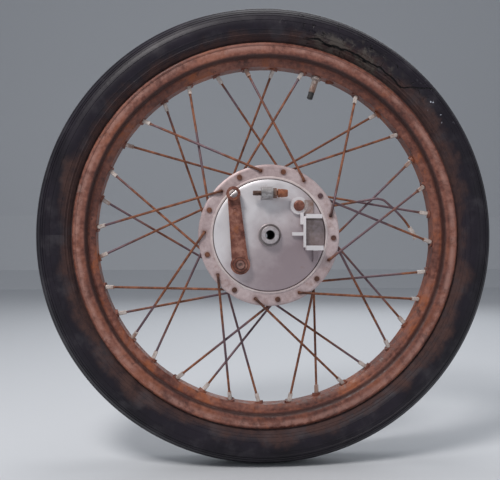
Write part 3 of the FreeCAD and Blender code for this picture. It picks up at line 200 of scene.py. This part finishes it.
class Finish:
    """A procedural material on Object coordinates, built up from a few kinds of node."""

    def __init__(self, name):
        self.material = bpy.data.materials.new(name)
        self.material.use_nodes = True
        self.tree = self.material.node_tree
        self.shader = self.tree.nodes["Principled BSDF"]
        self.place = self.tree.nodes.new("ShaderNodeTexCoord").outputs["Object"]
        self.bump = None

    def node(self, kind, **settings):
        made = self.tree.nodes.new(kind)
        for key, value in settings.items():
            setattr(made, key, value)
        return made

    def link(self, source, target):
        if isinstance(source, (int, float, tuple)):
            target.default_value = source
        else:
            self.tree.links.new(source, target)

    def maths(self, operation, first, second=0.0):
        made = self.node("ShaderNodeMath", operation=operation)
        self.link(first, made.inputs[0])
        self.link(second, made.inputs[1])
        return made.outputs[0]

    def stretched(self, scale):
        """Object coordinates, stretched by a scale for each axis."""
        made = self.node("ShaderNodeMapping")
        self.link(self.place, made.inputs["Vector"])
        made.inputs["Scale"].default_value = scale
        return made.outputs[0]

    def split(self):
        made = self.node("ShaderNodeSeparateXYZ")
        self.link(self.place, made.inputs[0])
        return made.outputs[0], made.outputs[1], made.outputs[2]

    def radius(self):
        """Distance from the wheel's axle."""
        x, _, z = self.split()
        return self.maths("SQRT", self.maths("ADD", self.maths("MULTIPLY", x, x), self.maths("MULTIPLY", z, z)))

    def round_the_axle(self, reach):
        """Coordinates that follow the rim: arc length, depth and radius."""
        x, y, z = self.split()
        angle = self.maths("ARCTAN2", z, x)
        made = self.node("ShaderNodeCombineXYZ")
        self.link(self.maths("MULTIPLY", angle, reach), made.inputs[0])
        self.link(y, made.inputs[1])
        self.link(self.radius(), made.inputs[2])
        return made.outputs[0]

    def noise(self, scale, detail=4.0, rough=0.6, vector=None, warp=0.0):
        made = self.node("ShaderNodeTexNoise")
        self.link(vector if vector is not None else self.place, made.inputs["Vector"])
        made.inputs["Scale"].default_value = scale
        made.inputs["Detail"].default_value = detail
        made.inputs["Roughness"].default_value = rough
        made.inputs["Distortion"].default_value = warp
        return made.outputs[0]

    def cells(self, scale, feature="F1", vector=None):
        made = self.node("ShaderNodeTexVoronoi", feature=feature)
        self.link(vector if vector is not None else self.place, made.inputs["Vector"])
        made.inputs["Scale"].default_value = scale
        return made.outputs["Distance"]

    def fade(self, value, low, high, bottom=0.0, top=1.0):
        """A value between low and high, smoothly brought to bottom and top."""
        made = self.node("ShaderNodeMapRange", interpolation_type="SMOOTHSTEP")
        self.link(value, made.inputs["Value"])
        for name, number in (("From Min", low), ("From Max", high), ("To Min", bottom), ("To Max", top)):
            made.inputs[name].default_value = number
        return made.outputs[0]

    def ramp(self, value, stops):
        made = self.node("ShaderNodeValToRGB")
        self.link(value, made.inputs[0])
        while len(made.color_ramp.elements) < len(stops):
            made.color_ramp.elements.new(0.5)
        for element, (place, colour) in zip(made.color_ramp.elements, stops):
            element.position = place
            element.color = (*colour, 1)
        return made.outputs[0]

    def mix(self, factor, under, over, kind="MIX"):
        made = self.node("ShaderNodeMix", data_type="RGBA", blend_type=kind)
        self.link(factor, made.inputs[0])
        for source, target in ((under, made.inputs[6]), (over, made.inputs[7])):
            self.link((*source, 1) if isinstance(source, tuple) else source, target)
        return made.outputs[2]

    def raise_by(self, height, distance, strength=1.0):
        """Add a bump of a height map on top of those before it."""
        made = self.node("ShaderNodeBump")
        made.inputs["Strength"].default_value = strength
        made.inputs["Distance"].default_value = distance
        self.link(height, made.inputs["Height"])
        if self.bump is not None:
            self.link(self.bump, made.inputs["Normal"])
        self.bump = made.outputs[0]
        self.link(self.bump, self.shader.inputs["Normal"])

    def finish(self, colour, rough, metal=0.0, shine=0.5):
        self.link(colour, self.shader.inputs["Base Color"])
        self.link(rough, self.shader.inputs["Roughness"])
        self.link(metal, self.shader.inputs["Metallic"])
        self.shader.inputs["Specular IOR Level"].default_value = shine
        return self.material


def paint_nodes(names, material):
    """Give CAD nodes a finish in place of the plain one they came with."""
    for name in names:
        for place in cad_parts[name].material_slots:
            place.material = material


def put_on(piece, material, body, nodes):
    """Finish a new piece, let it ride on its body and stand for its CAD nodes."""
    piece.data.materials.clear()
    piece.data.materials.append(material)
    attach(piece, body)
    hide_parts(*nodes)


def tyre_rubber():
    look = Finish("dusty_tyre_rubber")
    x, _, z = look.split()
    radius = look.radius()
    wrap = look.round_the_axle(0.25)
    turn = look.maths("DEGREES", look.maths("ARCTAN2", z, x))
    mottle = look.noise(14, 6, 0.68)
    fine = look.noise(95, 5, 0.7)
    rubber = look.ramp(mottle, [(0.30, (0.007, 0.0055, 0.009)), (0.70, (0.020, 0.016, 0.024))])
    # brown dust beside the rim, with a ragged edge
    edge = look.maths("ADD", radius, look.maths("MULTIPLY", look.maths("SUBTRACT", mottle, 0.5), 0.055))
    beside_rim = look.fade(edge, 0.236, 0.249, 1.0, 0.0)
    dust = look.maths("MULTIPLY", beside_rim, look.fade(fine, 0.30, 0.62, 0.30, 0.85))
    colour = look.mix(dust, rubber, (0.082, 0.044, 0.038))
    # grey bloom in streaks that follow the sidewall
    streak = look.fade(look.noise(30, 4, 0.6, vector=wrap), 0.50, 0.72)
    colour = look.mix(look.maths("MULTIPLY", streak, 0.42), colour, (0.066, 0.060, 0.068))
    # the hardened quarter: flaked patches and a long split beside the rim that runs out to the edge
    quarter = look.maths("MULTIPLY", look.fade(turn, 34, 47), look.fade(turn, 76, 90, 1.0, 0.0))
    patch = look.maths("MULTIPLY", look.fade(turn, 46, 56), look.fade(turn, 74, 84, 1.0, 0.0))
    flake_zone = look.maths("MULTIPLY", patch, look.fade(edge, 0.245, 0.257, 1.0, 0.0))
    flake = look.maths("MULTIPLY", flake_zone, look.fade(look.noise(46, 6, 0.75), 0.42, 0.60))
    colour = look.mix(look.maths("MULTIPLY", flake, 0.75), colour, (0.100, 0.086, 0.074))
    wobble = look.maths("MULTIPLY", look.maths("SUBTRACT", look.noise(38, 3, 0.6), 0.5), 0.011)
    run_out = look.maths("MULTIPLY", look.maths("MAXIMUM", look.maths("SUBTRACT", 48.0, turn), 0.0), 0.0038)
    line = look.maths("ADD", look.maths("ADD", 0.2392, run_out), wobble)
    off_line = look.maths("ABSOLUTE", look.maths("SUBTRACT", radius, line))
    on_arc = look.maths("MULTIPLY", look.fade(turn, 40, 42), look.fade(turn, 77, 81, 1.0, 0.0))
    split = look.maths("MULTIPLY", look.fade(off_line, 0.0004, 0.0013, 1.0, 0.0), on_arc)
    veins = look.fade(look.cells(58, "DISTANCE_TO_EDGE", vector=wrap), 0.0, 0.03, 1.0, 0.0)
    veins = look.maths("MULTIPLY", look.maths("MULTIPLY", veins, quarter), look.fade(fine, 0.5, 0.6))
    crack = look.maths("MAXIMUM", split, look.maths("MULTIPLY", veins, 0.8))
    colour = look.mix(crack, colour, (0.003, 0.003, 0.004))
    look.raise_by(look.noise(900, 3, 0.6), 0.0002, 0.35)
    look.raise_by(look.noise(70, 4, 0.6, vector=wrap), 0.0010, 0.30)
    look.raise_by(flake, 0.0012, 0.6)
    look.raise_by(look.maths("SUBTRACT", 1.0, crack), 0.0016, 1.0)
    # painted glints: small pale flecks painted where the split runs out
    glint_zone = look.maths("MULTIPLY", look.fade(turn, 30, 36), look.fade(turn, 43, 47, 1.0, 0.0))
    glint = look.maths("MULTIPLY", glint_zone, look.fade(look.noise(210, 2, 0.5), 0.68, 0.72))
    glint = look.maths("MULTIPLY", glint, look.fade(radius, 0.242, 0.246))
    colour = look.mix(glint, colour, (0.42, 0.44, 0.50))
    return look.finish(colour, look.fade(dust, 0.0, 0.8, 0.44, 0.85), shine=0.22)


put_on(tyre_casing, tyre_rubber(), "wheel", ["tyre"])

# ---------------------------------------------------------------------------------------------
# Inner tube, rim tape and dust seals. Butyl tube inside the casing, a rubber band over the nipple
# heads, and two moulded rings pressed into the hub's boss.


def plain_rubber():
    look = Finish("plain_black_rubber")
    colour = look.ramp(look.noise(60, 4, 0.6), [(0.3, (0.012, 0.012, 0.013)), (0.7, (0.038, 0.036, 0.035))])
    look.raise_by(look.noise(400, 3, 0.6), 0.0002, 0.4)
    return look.finish(colour, look.fade(look.noise(90), 0.3, 0.7, 0.42, 0.66))


rubber_finish = plain_rubber()
paint_nodes(["inner_tube", "rim_tape", "near_dust_seal", "far_dust_seal"], rubber_finish)

# ---------------------------------------------------------------------------------------------
# Rim. Steel strip rolled into a hoop with a dropped bed, two flanges with rolled lips and a
# punched dimple for each nipple. The chrome has gone: it is orange-brown rust all over, with a few
# bright scars left on the lips. Shade is painted dark in the valley under the bead seat and a
# highlight is painted along the middle of each flange's band.


def rusty_rim():
    look = Finish("rim_rust")
    wrap = look.round_the_axle(0.215)
    radius = look.radius()
    broad = look.noise(10, 5, 0.65)
    fine = look.noise(160, 6, 0.72)
    rust = look.ramp(look.maths("ADD", look.maths("MULTIPLY", broad, 0.5), look.maths("MULTIPLY", fine, 0.5)), [
        (0.34, (0.050, 0.013, 0.009)), (0.46, (0.125, 0.038, 0.025)),
        (0.54, (0.205, 0.072, 0.048)), (0.68, (0.320, 0.145, 0.108)),
    ])
    orange = look.fade(look.noise(19, 5, 0.7, warp=0.6), 0.50, 0.66)
    inner_band = look.fade(radius, 0.2125, 0.2165, 1.0, 0.0)
    glow = look.maths("MULTIPLY", orange, look.maths("ADD", 0.35, look.maths("MULTIPLY", inner_band, 0.45)))
    colour = look.mix(glow, rust, (0.300, 0.082, 0.024))
    dark_spots = look.fade(look.noise(55, 5, 0.75), 0.58, 0.68)
    colour = look.mix(look.maths("MULTIPLY", dark_spots, 0.75), colour, (0.040, 0.011, 0.009))
    # painted highlight along the middle of each flange's band, broken up by noise
    band_highlight = look.maths("MULTIPLY", look.fade(radius, 0.2200, 0.2245), look.fade(radius, 0.2255, 0.2300, 1.0, 0.0))
    band_highlight = look.maths("MULTIPLY", band_highlight, look.fade(look.noise(60, 5, 0.75), 0.38, 0.62, 0.1, 0.65))
    colour = look.mix(band_highlight, colour, (0.40, 0.215, 0.175))
    # painted shade: near-black colour in the valley under the bead seat
    valley_shade = look.maths("MULTIPLY", look.fade(radius, 0.2125, 0.2148), look.fade(radius, 0.2158, 0.2185, 1.0, 0.0))
    colour = look.mix(look.maths("MULTIPLY", valley_shade, 0.88), colour, (0.026, 0.008, 0.007))
    worn = look.maths("MULTIPLY", look.fade(look.noise(30, 6, 0.78, vector=wrap), 0.60, 0.72), look.fade(radius, 0.219, 0.223))
    colour = look.mix(look.maths("MULTIPLY", worn, 0.5), colour, (0.50, 0.36, 0.32))
    look.raise_by(fine, 0.0007, 0.6)
    look.raise_by(look.noise(420, 4, 0.7), 0.0004, 0.5)
    look.raise_by(look.cells(240), 0.0004, 0.35)
    return look.finish(colour, look.fade(fine, 0.35, 0.65, 0.36, 0.72), look.maths("MULTIPLY", worn, 0.8))


paint_nodes(["rim"], rusty_rim())

# ---------------------------------------------------------------------------------------------
# Spokes. Drawn steel wire with a rolled thread at one end, rusted orange-brown, with some
# lengths still a dull lilac grey. Their heads at the hub are painted darker, as shade. One has come out of the rim.


def rusty_wire():
    look = Finish("spoke_rust")
    bare = look.fade(look.noise(13, 3, 0.5), 0.50, 0.60)
    rust = look.ramp(look.noise(130, 5, 0.72), [
        (0.32, (0.070, 0.020, 0.010)), (0.50, (0.190, 0.062, 0.028)), (0.68, (0.340, 0.130, 0.062)),
    ])
    colour = look.mix(look.maths("MULTIPLY", bare, 0.7), rust, (0.130, 0.100, 0.135))
    # painted shade on the spokes' heads at the hub, varied by noise
    at_hub = look.fade(look.radius(), 0.078, 0.092, 1.0, 0.0)
    head_shade = look.maths("MULTIPLY", at_hub, look.fade(look.noise(20, 2, 0.5), 0.40, 0.58, 0.25, 0.85))
    colour = look.mix(head_shade, colour, (0.050, 0.018, 0.012))
    look.raise_by(look.noise(600, 4, 0.7), 0.0003, 0.6)
    return look.finish(colour, look.fade(bare, 0, 1, 0.72, 0.5), look.maths("MULTIPLY", bare, 0.4))


paint_nodes(["spokes_near_outer", "spokes_near_inner", "spokes_far_outer", "spokes_far_inner", "bent_spoke"],
            rusty_wire())

# ---------------------------------------------------------------------------------------------
# Nipples. Plated brass, each pulled up through its dimple, so they are still pale, with rust run
# down from the rim in places.


def nipple_plating():
    look = Finish("nipple_plating")
    stain = look.fade(look.noise(38, 4, 0.72), 0.50, 0.64)
    pale = look.ramp(look.noise(240, 3, 0.6), [(0.3, (0.40, 0.34, 0.31)), (0.7, (0.66, 0.59, 0.55))])
    colour = look.mix(look.maths("MULTIPLY", stain, 0.75), pale, (0.22, 0.095, 0.055))
    look.raise_by(look.noise(700, 3, 0.6), 0.0002, 0.5)
    return look.finish(colour, look.fade(stain, 0, 1, 0.50, 0.75), look.fade(stain, 0, 1, 0.3, 0.1))


nipple_finish = nipple_plating()
paint_nodes(["nipples_near_outer", "nipples_near_inner", "nipples_far_outer", "nipples_far_inner", "loose_nipple"],
            nipple_finish)

# ---------------------------------------------------------------------------------------------
# Valve. A plated brass stem with a fine thread over its whole length, a core inside, a hexagon
# nut that pulls it up to the rim and a black cap with a ribbed grip.

valve_turn = math.radians(72.5)
valve_line = Vector((math.cos(valve_turn), 0, math.sin(valve_turn)))
valve_tip = 176.5


def round_valve(name, section, steps):
    """A section of distance from the axle and radius about the valve's own line, in millimetres."""
    points = [(valve_line * along + Vector((0, radius, 0))) * MM for along, radius in section]
    return spin_round(name, points, (0, 0, 0), valve_line, steps)


stem_section = [(valve_tip + 6, 1.6), (valve_tip + 6, 2.5), (valve_tip + 7, 3.0), (valve_tip + 8.6, 3.0)]
thread_start = valve_tip + 8.8
for i in range(22):
    stem_section += [(thread_start + 0.8 * i, 3.55), (thread_start + 0.8 * i + 0.4, 4.0)]
stem_section += [(203.2, 3.9), (214.4, 3.9), (214.4, 5.1), (215.9, 4.7), (215.9, 1.6)]
threaded_stem = round_valve("threaded_stem", stem_section, 32)
put_on(threaded_stem, nipple_finish, "wheel", ["valve_stem"])
paint_nodes(["valve_core", "valve_nut"], nipple_finish)

cap_section = [(valve_tip, 0.0), (valve_tip, 2.5), (valve_tip + 0.5, 3.1)]
for i in range(5):
    cap_section += [(valve_tip + 1.0 + 1.2 * i, 3.7), (valve_tip + 1.6 + 1.2 * i, 3.45)]
cap_section += [(valve_tip + 7.2, 3.8), (valve_tip + 8.2, 3.7), (valve_tip + 8.2, 3.2), (valve_tip + 5, 3.1), (valve_tip + 4, 0.0)]
ribbed_cap = round_valve("ribbed_cap", cap_section, 28)
put_on(ribbed_cap, rubber_finish, "wheel", ["valve_cap"])

# ---------------------------------------------------------------------------------------------
# Hub shell. One aluminium casting with both spoke flanges, turned at its mouth, dull and pink
# with rust dust, and stained brown round each spoke hole.


def soften_copy(node, name, width, segments):
    """A copy of a CAD node with its flat faces joined up again and its edges rounded as cast."""
    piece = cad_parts[node].copy()
    piece.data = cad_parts[node].data.copy()
    piece.parent = None
    piece.matrix_world.identity()
    piece.name = name
    bpy.context.collection.objects.link(piece)
    bpy.ops.object.select_all(action="DESELECT")
    piece.select_set(True)
    bpy.context.view_layer.objects.active = piece
    bpy.ops.object.mode_set(mode="EDIT")
    bpy.ops.mesh.select_all(action="SELECT")
    bpy.ops.mesh.remove_doubles(threshold=0.00001)
    bpy.ops.mesh.dissolve_limited(angle_limit=math.radians(0.05))
    bpy.ops.object.mode_set(mode="OBJECT")
    rounding = piece.modifiers.new("cast_edges", "BEVEL")
    rounding.width = width
    rounding.segments = segments
    rounding.limit_method = "ANGLE"
    rounding.angle_limit = math.radians(38)
    bpy.ops.object.modifier_apply(modifier="cast_edges")
    bpy.ops.object.shade_smooth_by_angle(angle=math.radians(40))
    flats = piece.modifiers.new("flat_faces", "WEIGHTED_NORMAL")
    flats.keep_sharp = True
    bpy.ops.object.modifier_apply(modifier="flat_faces")
    return piece


def cast_hub():
    look = Finish("dull_hub_casting")
    x, y, z = look.split()
    radius = look.radius()
    broad = look.noise(16, 5, 0.62)
    fine = look.noise(280, 4, 0.68)
    alloy = look.ramp(look.maths("ADD", look.maths("MULTIPLY", broad, 0.6), look.maths("MULTIPLY", fine, 0.4)), [
        (0.32, (0.360, 0.265, 0.265)), (0.50, (0.510, 0.405, 0.405)), (0.68, (0.640, 0.540, 0.540)),
    ])
    rust_dust = look.fade(look.noise(40, 5, 0.72), 0.52, 0.68)
    colour = look.mix(look.maths("MULTIPLY", rust_dust, 0.55), alloy, (0.26, 0.130, 0.095))
    # a brown halo round each of the eighteen holes of a flange
    turn = look.maths("DEGREES", look.maths("ARCTAN2", z, x))
    beat = look.maths("ABSOLUTE", look.maths("SINE", look.maths("MULTIPLY", look.maths("SUBTRACT", turn, 17.5), math.radians(9))))
    off_circle = look.maths("ABSOLUTE", look.maths("SUBTRACT", radius, 0.0758))
    halo = look.maths("MULTIPLY", look.fade(beat, 0.12, 0.62, 1.0, 0.0), look.fade(off_circle, 0.0012, 0.0055, 1.0, 0.0))
    colour = look.mix(look.maths("MULTIPLY", halo, look.fade(fine, 0.35, 0.6, 0.25, 0.8)), colour, (0.200, 0.085, 0.055))
    # painted highlight: a pale ring on the lip at the hub's mouth
    lip_highlight = look.maths("MULTIPLY", look.fade(radius, 0.0662, 0.0668), look.fade(radius, 0.0684, 0.0694, 1.0, 0.0))
    colour = look.mix(look.maths("MULTIPLY", lip_highlight, look.fade(broad, 0.35, 0.6, 0.4, 0.95)), colour, (0.72, 0.64, 0.62))
    # painted shade inside the hub's mouth, in the gap round the brake plate
    mouth_gap_shade = look.maths("MULTIPLY", look.fade(radius, 0.0640, 0.0662, 1.0, 0.0), 0.75)
    colour = look.mix(mouth_gap_shade, colour, (0.060, 0.045, 0.042))
    look.raise_by(fine, 0.0003, 0.5)
    look.raise_by(look.noise(90, 4, 0.6), 0.0006, 0.3)
    return look.finish(colour, look.fade(fine, 0.3, 0.7, 0.42, 0.62), 0.35)


hub_casting = soften_copy("hub_shell", "hub_casting", 0.0004, 2)
put_on(hub_casting, cast_hub(), "wheel", ["hub_shell"])

# ---------------------------------------------------------------------------------------------
# Brake plate. A second aluminium casting, turned on its outer face, that closes the drum. It
# carries the cam's and the anchor's bosses, the torque stop and the cable's lug. It is painted
# brighter up on the left and darker on the right as a reflection, with painted highlights on its
# proud front faces and a painted shadow under the upper ear, and it is brown beside the anchor and
# in the torque stop's floor.


def turned_plate():
    look = Finish("turned_brake_plate")
    x, y, z = look.split()
    radius = look.radius()
    ring = look.node("ShaderNodeCombineXYZ")
    look.link(radius, ring.inputs[0])
    turning = look.noise(1700, 2, 0.5, vector=ring.outputs[0])
    broad = look.noise(24, 5, 0.62)
    # painted reflection: brighter up on the left and darker down on the right, mixed with broad mottling
    slope = look.maths("SUBTRACT", z, x)
    sheen_and_mottle = look.maths("ADD", look.fade(slope, -0.075, 0.075), look.maths("MULTIPLY", look.maths("SUBTRACT", broad, 0.5), 0.9))
    alloy = look.ramp(sheen_and_mottle, [(0.05, (0.350, 0.275, 0.295)), (0.50, (0.590, 0.515, 0.530)), (0.90, (0.850, 0.820, 0.840))])
    colour = look.mix(look.maths("MULTIPLY", turning, 0.30), alloy, (0.36, 0.33, 0.34))
    stain = look.fade(look.noise(36, 5, 0.72), 0.58, 0.72)
    colour = look.mix(look.maths("MULTIPLY", stain, 0.40), colour, (0.27, 0.17, 0.13))

    def patch(left, right, bottom, top, soft):
        inside = look.maths("MULTIPLY", look.fade(x, left - soft, left + soft), look.fade(x, right - soft, right + soft, 1.0, 0.0))
        up = look.maths("MULTIPLY", look.fade(z, bottom - soft, bottom + soft), look.fade(z, top - soft, top + soft, 1.0, 0.0))
        return look.maths("MULTIPLY", inside, up)

    ragged = look.fade(look.noise(120, 4, 0.7), 0.36, 0.60, 0.45, 1.0)
    # painted highlight on the front faces that stand proud of the plate, all but the lower rib
    proud_face_highlight = look.maths("MULTIPLY", look.fade(y, -0.0440, -0.0425, 1.0, 0.0), look.fade(z, -0.0186, -0.0180))
    colour = look.mix(look.maths("MULTIPLY", proud_face_highlight, 0.80), colour, (0.90, 0.87, 0.88))
    lug = look.maths("MULTIPLY", patch(-0.0112, 0.0034, 0.0400, 0.0564, 0.0004), look.fade(y, -0.0425, -0.0405, 1.0, 0.0))
    colour = look.mix(look.maths("MULTIPLY", lug, look.fade(look.noise(150, 4, 0.7), 0.3, 0.6, 0.55, 0.95)), colour, (0.215, 0.200, 0.200))
    beside_anchor = look.maths("MULTIPLY", patch(0.0405, 0.052, 0.0252, 0.041, 0.0012), ragged)
    colour = look.mix(look.maths("MULTIPLY", beside_anchor, 0.8), colour, (0.230, 0.120, 0.070))
    low = look.fade(y, -0.0408, -0.0395)
    stop_floor = look.maths("MULTIPLY", look.maths("MULTIPLY", patch(0.0424, 0.068, -0.0122, 0.0195, 0.0006), low), ragged)
    colour = look.mix(look.maths("MULTIPLY", stop_floor, 0.85), colour, (0.215, 0.165, 0.150))
    # painted shadow at the top of the torque stop's floor, under the upper ear
    ear_shadow = look.maths("MULTIPLY", stop_floor, look.fade(z, 0.0165, 0.0195))
    colour = look.mix(look.maths("MULTIPLY", ear_shadow, 0.8), colour, (0.060, 0.045, 0.042))
    # old grease and painted shade round the collar, and a painted shade line in the gap at the plate's edge
    grease_and_gap_shade = look.maths("MULTIPLY", look.fade(radius, 0.0122, 0.0142, 1.0, 0.0), look.fade(broad, 0.3, 0.6, 0.75, 0.95))
    colour = look.mix(grease_and_gap_shade, colour, (0.075, 0.050, 0.048))
    colour = look.mix(look.fade(radius, 0.0650, 0.0654), colour, (0.040, 0.030, 0.030))
    look.raise_by(turning, 0.0001, 0.45)
    look.raise_by(look.noise(320, 3, 0.6), 0.00025, 0.35)
    return look.finish(colour, look.fade(broad, 0.3, 0.7, 0.34, 0.50), 0.5)


plate_casting = soften_copy("brake_plate", "plate_casting", 0.0004, 2)
put_on(plate_casting, turned_plate(), "brake_plate_assembly", ["brake_plate"])

# ---------------------------------------------------------------------------------------------
# Brake arm, camshaft and anchor pin. Forged and turned steel, all of it brown with rust. The
# arm is pressed on the shaft's serrated end.


def rusty_forging():
    look = Finish("rusty_forging")
    rust = look.ramp(look.noise(95, 6, 0.72), [
        (0.34, (0.070, 0.020, 0.014)), (0.50, (0.190, 0.068, 0.048)), (0.66, (0.360, 0.170, 0.125)),
    ])
    orange = look.fade(look.noise(60, 4, 0.7), 0.55, 0.68)
    colour = look.mix(look.maths("MULTIPLY", orange, 0.6), rust, (0.33, 0.110, 0.040))
    # painted shade in the grooves round the shaft's end and round the raised ring of the arm's foot, and at its centre
    x, _, z = look.split()
    off_x = look.maths("ADD", x, 0.0343)
    off_z = look.maths("ADD", z, 0.0343)
    reach = look.maths("SQRT", look.maths("ADD", look.maths("MULTIPLY", off_x, off_x), look.maths("MULTIPLY", off_z, off_z)))
    seam = look.fade(look.maths("ABSOLUTE", look.maths("SUBTRACT", reach, 0.0051)), 0.0002, 0.0007, 1.0, 0.0)
    foot = look.fade(look.maths("ABSOLUTE", look.maths("SUBTRACT", reach, 0.0084)), 0.0002, 0.0008, 1.0, 0.0)
    centre = look.fade(reach, 0.0012, 0.0018, 1.0, 0.0)
    groove_shade = look.maths("MAXIMUM", look.maths("MAXIMUM", seam, centre), look.maths("MULTIPLY", foot, 0.8))
    colour = look.mix(look.maths("MULTIPLY", groove_shade, 0.8), colour, (0.040, 0.016, 0.014))
    shaft_end = look.fade(reach, 0.0044, 0.0048, 0.35, 0.0)
    colour = look.mix(shaft_end, colour, (0.30, 0.22, 0.20))
    look.raise_by(look.noise(450, 5, 0.7), 0.0006, 0.6)
    return look.finish(colour, look.fade(orange, 0.0, 1.0, 0.42, 0.75), 0.25)


forging_finish = rusty_forging()
lever = soften_copy("brake_arm", "forged_lever", 0.0007, 3)
put_on(lever, forging_finish, "brake_cam", ["brake_arm"])
paint_nodes(["camshaft", "anchor_pin"], forging_finish)

# ---------------------------------------------------------------------------------------------
# Cable adjuster. A hollow steel screw in the plate's lug, with its lock nut: threaded and dark
# at its tail, rusty orange at its head, which has a groove rolled round it.

screw_height = 48.2
screw_front = -50.0


def round_screw(name, section, steps):
    """A section of place along X and radius about the screw's line, in millimetres."""
    points = [Vector((along, screw_front, screw_height + radius)) * MM for along, radius in section]
    centre = Vector((0, screw_front, screw_height)) * MM
    return spin_round(name, points, centre, (1, 0, 0), steps)


screw_section = [(-20.0, 1.5), (-20.0, 2.4)]
for i in range(35):
    screw_section += [(-19.7 + 0.8 * i, 2.5), (-19.3 + 0.8 * i, 2.98)]
screw_section += [(8.4, 2.6), (8.6, 2.9), (8.6, 4.6), (8.9, 4.9), (11.0, 4.9), (11.3, 4.5), (12.1, 4.5), (12.4, 4.85)]
screw_section += [(13.8, 4.8), (19.6, 4.1), (20.0, 3.8), (20.0, 3.1), (12.0, 3.1), (12.0, 1.5)]
threaded_screw = round_screw("threaded_screw", screw_section, 36)


def adjuster_steel():
    look = Finish("adjuster_steel")
    x, _, _ = look.split()
    ragged = look.maths("ADD", x, look.maths("MULTIPLY", look.noise(200, 3), 0.004))
    head = look.fade(ragged, 0.007, 0.011)
    grey = look.ramp(look.noise(260, 4), [(0.3, (0.090, 0.050, 0.038)), (0.7, (0.240, 0.160, 0.130))])
    rust = look.ramp(look.noise(220, 5, 0.7), [(0.3, (0.110, 0.032, 0.016)), (0.7, (0.390, 0.140, 0.065))])
    colour = look.mix(head, grey, rust)
    look.raise_by(look.noise(500, 4, 0.7), 0.0004, 0.5)
    return look.finish(colour, 0.55, look.fade(head, 0, 1, 0.5, 0.1))


adjuster_finish = adjuster_steel()
put_on(threaded_screw, adjuster_finish, "cable_adjuster", ["cable_adjuster"])
paint_nodes(["adjuster_lock_nut"], adjuster_finish)

# ---------------------------------------------------------------------------------------------
# Axle line. Plain turned steel: the collars at both ends, whose bore is painted black as shade,
# the tube between the bearings and the bearings' races and balls, with brass cages.


def turned_steel(name, dark, light, rough):
    look = Finish(name)
    colour = look.ramp(look.noise(240, 4, 0.6), [(0.3, dark), (0.7, light)])
    # painted shade: the bore round the axle's line is painted near black
    bore_shade = look.fade(look.radius(), 0.0054, 0.0058, 1.0, 0.0)
    colour = look.mix(look.maths("MULTIPLY", bore_shade, 0.97), colour, (0.010, 0.008, 0.008))
    look.raise_by(look.noise(600, 3, 0.6), 0.00015, 0.4)
    return look.finish(colour, look.fade(bore_shade, 0, 1, rough, 1.0), look.fade(bore_shade, 0, 1, 0.75, 0.0))


collar_finish = turned_steel("collar_steel", (0.46, 0.40, 0.41), (0.70, 0.65, 0.66), 0.38)
paint_nodes(["near_collar", "far_collar", "distance_tube"], collar_finish)
race_finish = turned_steel("bearing_steel", (0.45, 0.45, 0.46), (0.66, 0.66, 0.67), 0.22)
paint_nodes(["near_inner_race", "far_inner_race", "near_outer_race", "far_outer_race", "near_balls", "far_balls"],
            race_finish)
paint_nodes(["near_cage", "far_cage"], turned_steel("cage_brass", (0.42, 0.28, 0.10), (0.62, 0.44, 0.19), 0.35))

# ---------------------------------------------------------------------------------------------
# Inside the drum. A cast-iron liner, two alloy shoes with bonded friction linings, and two close
# wound springs that draw the shoes back on to the cam.

paint_nodes(["drum_liner"], turned_steel("drum_iron", (0.16, 0.14, 0.13), (0.30, 0.27, 0.25), 0.42))
paint_nodes(["cam_side_spring", "anchor_side_spring"],
            turned_steel("spring_steel", (0.10, 0.10, 0.11), (0.24, 0.24, 0.26), 0.45))
paint_nodes(["upper_shoe", "lower_shoe"], turned_steel("shoe_alloy", (0.40, 0.39, 0.39), (0.62, 0.61, 0.61), 0.5))


def lining_mix():
    look = Finish("friction_lining")
    colour = look.ramp(look.noise(420, 5, 0.75), [
        (0.35, (0.040, 0.030, 0.024)), (0.50, (0.130, 0.095, 0.070)), (0.68, (0.330, 0.230, 0.120)),
    ])
    look.raise_by(look.noise(500, 4, 0.7), 0.0003, 0.5)
    return look.finish(colour, 0.85)


paint_nodes(["upper_lining", "lower_lining"], lining_mix())
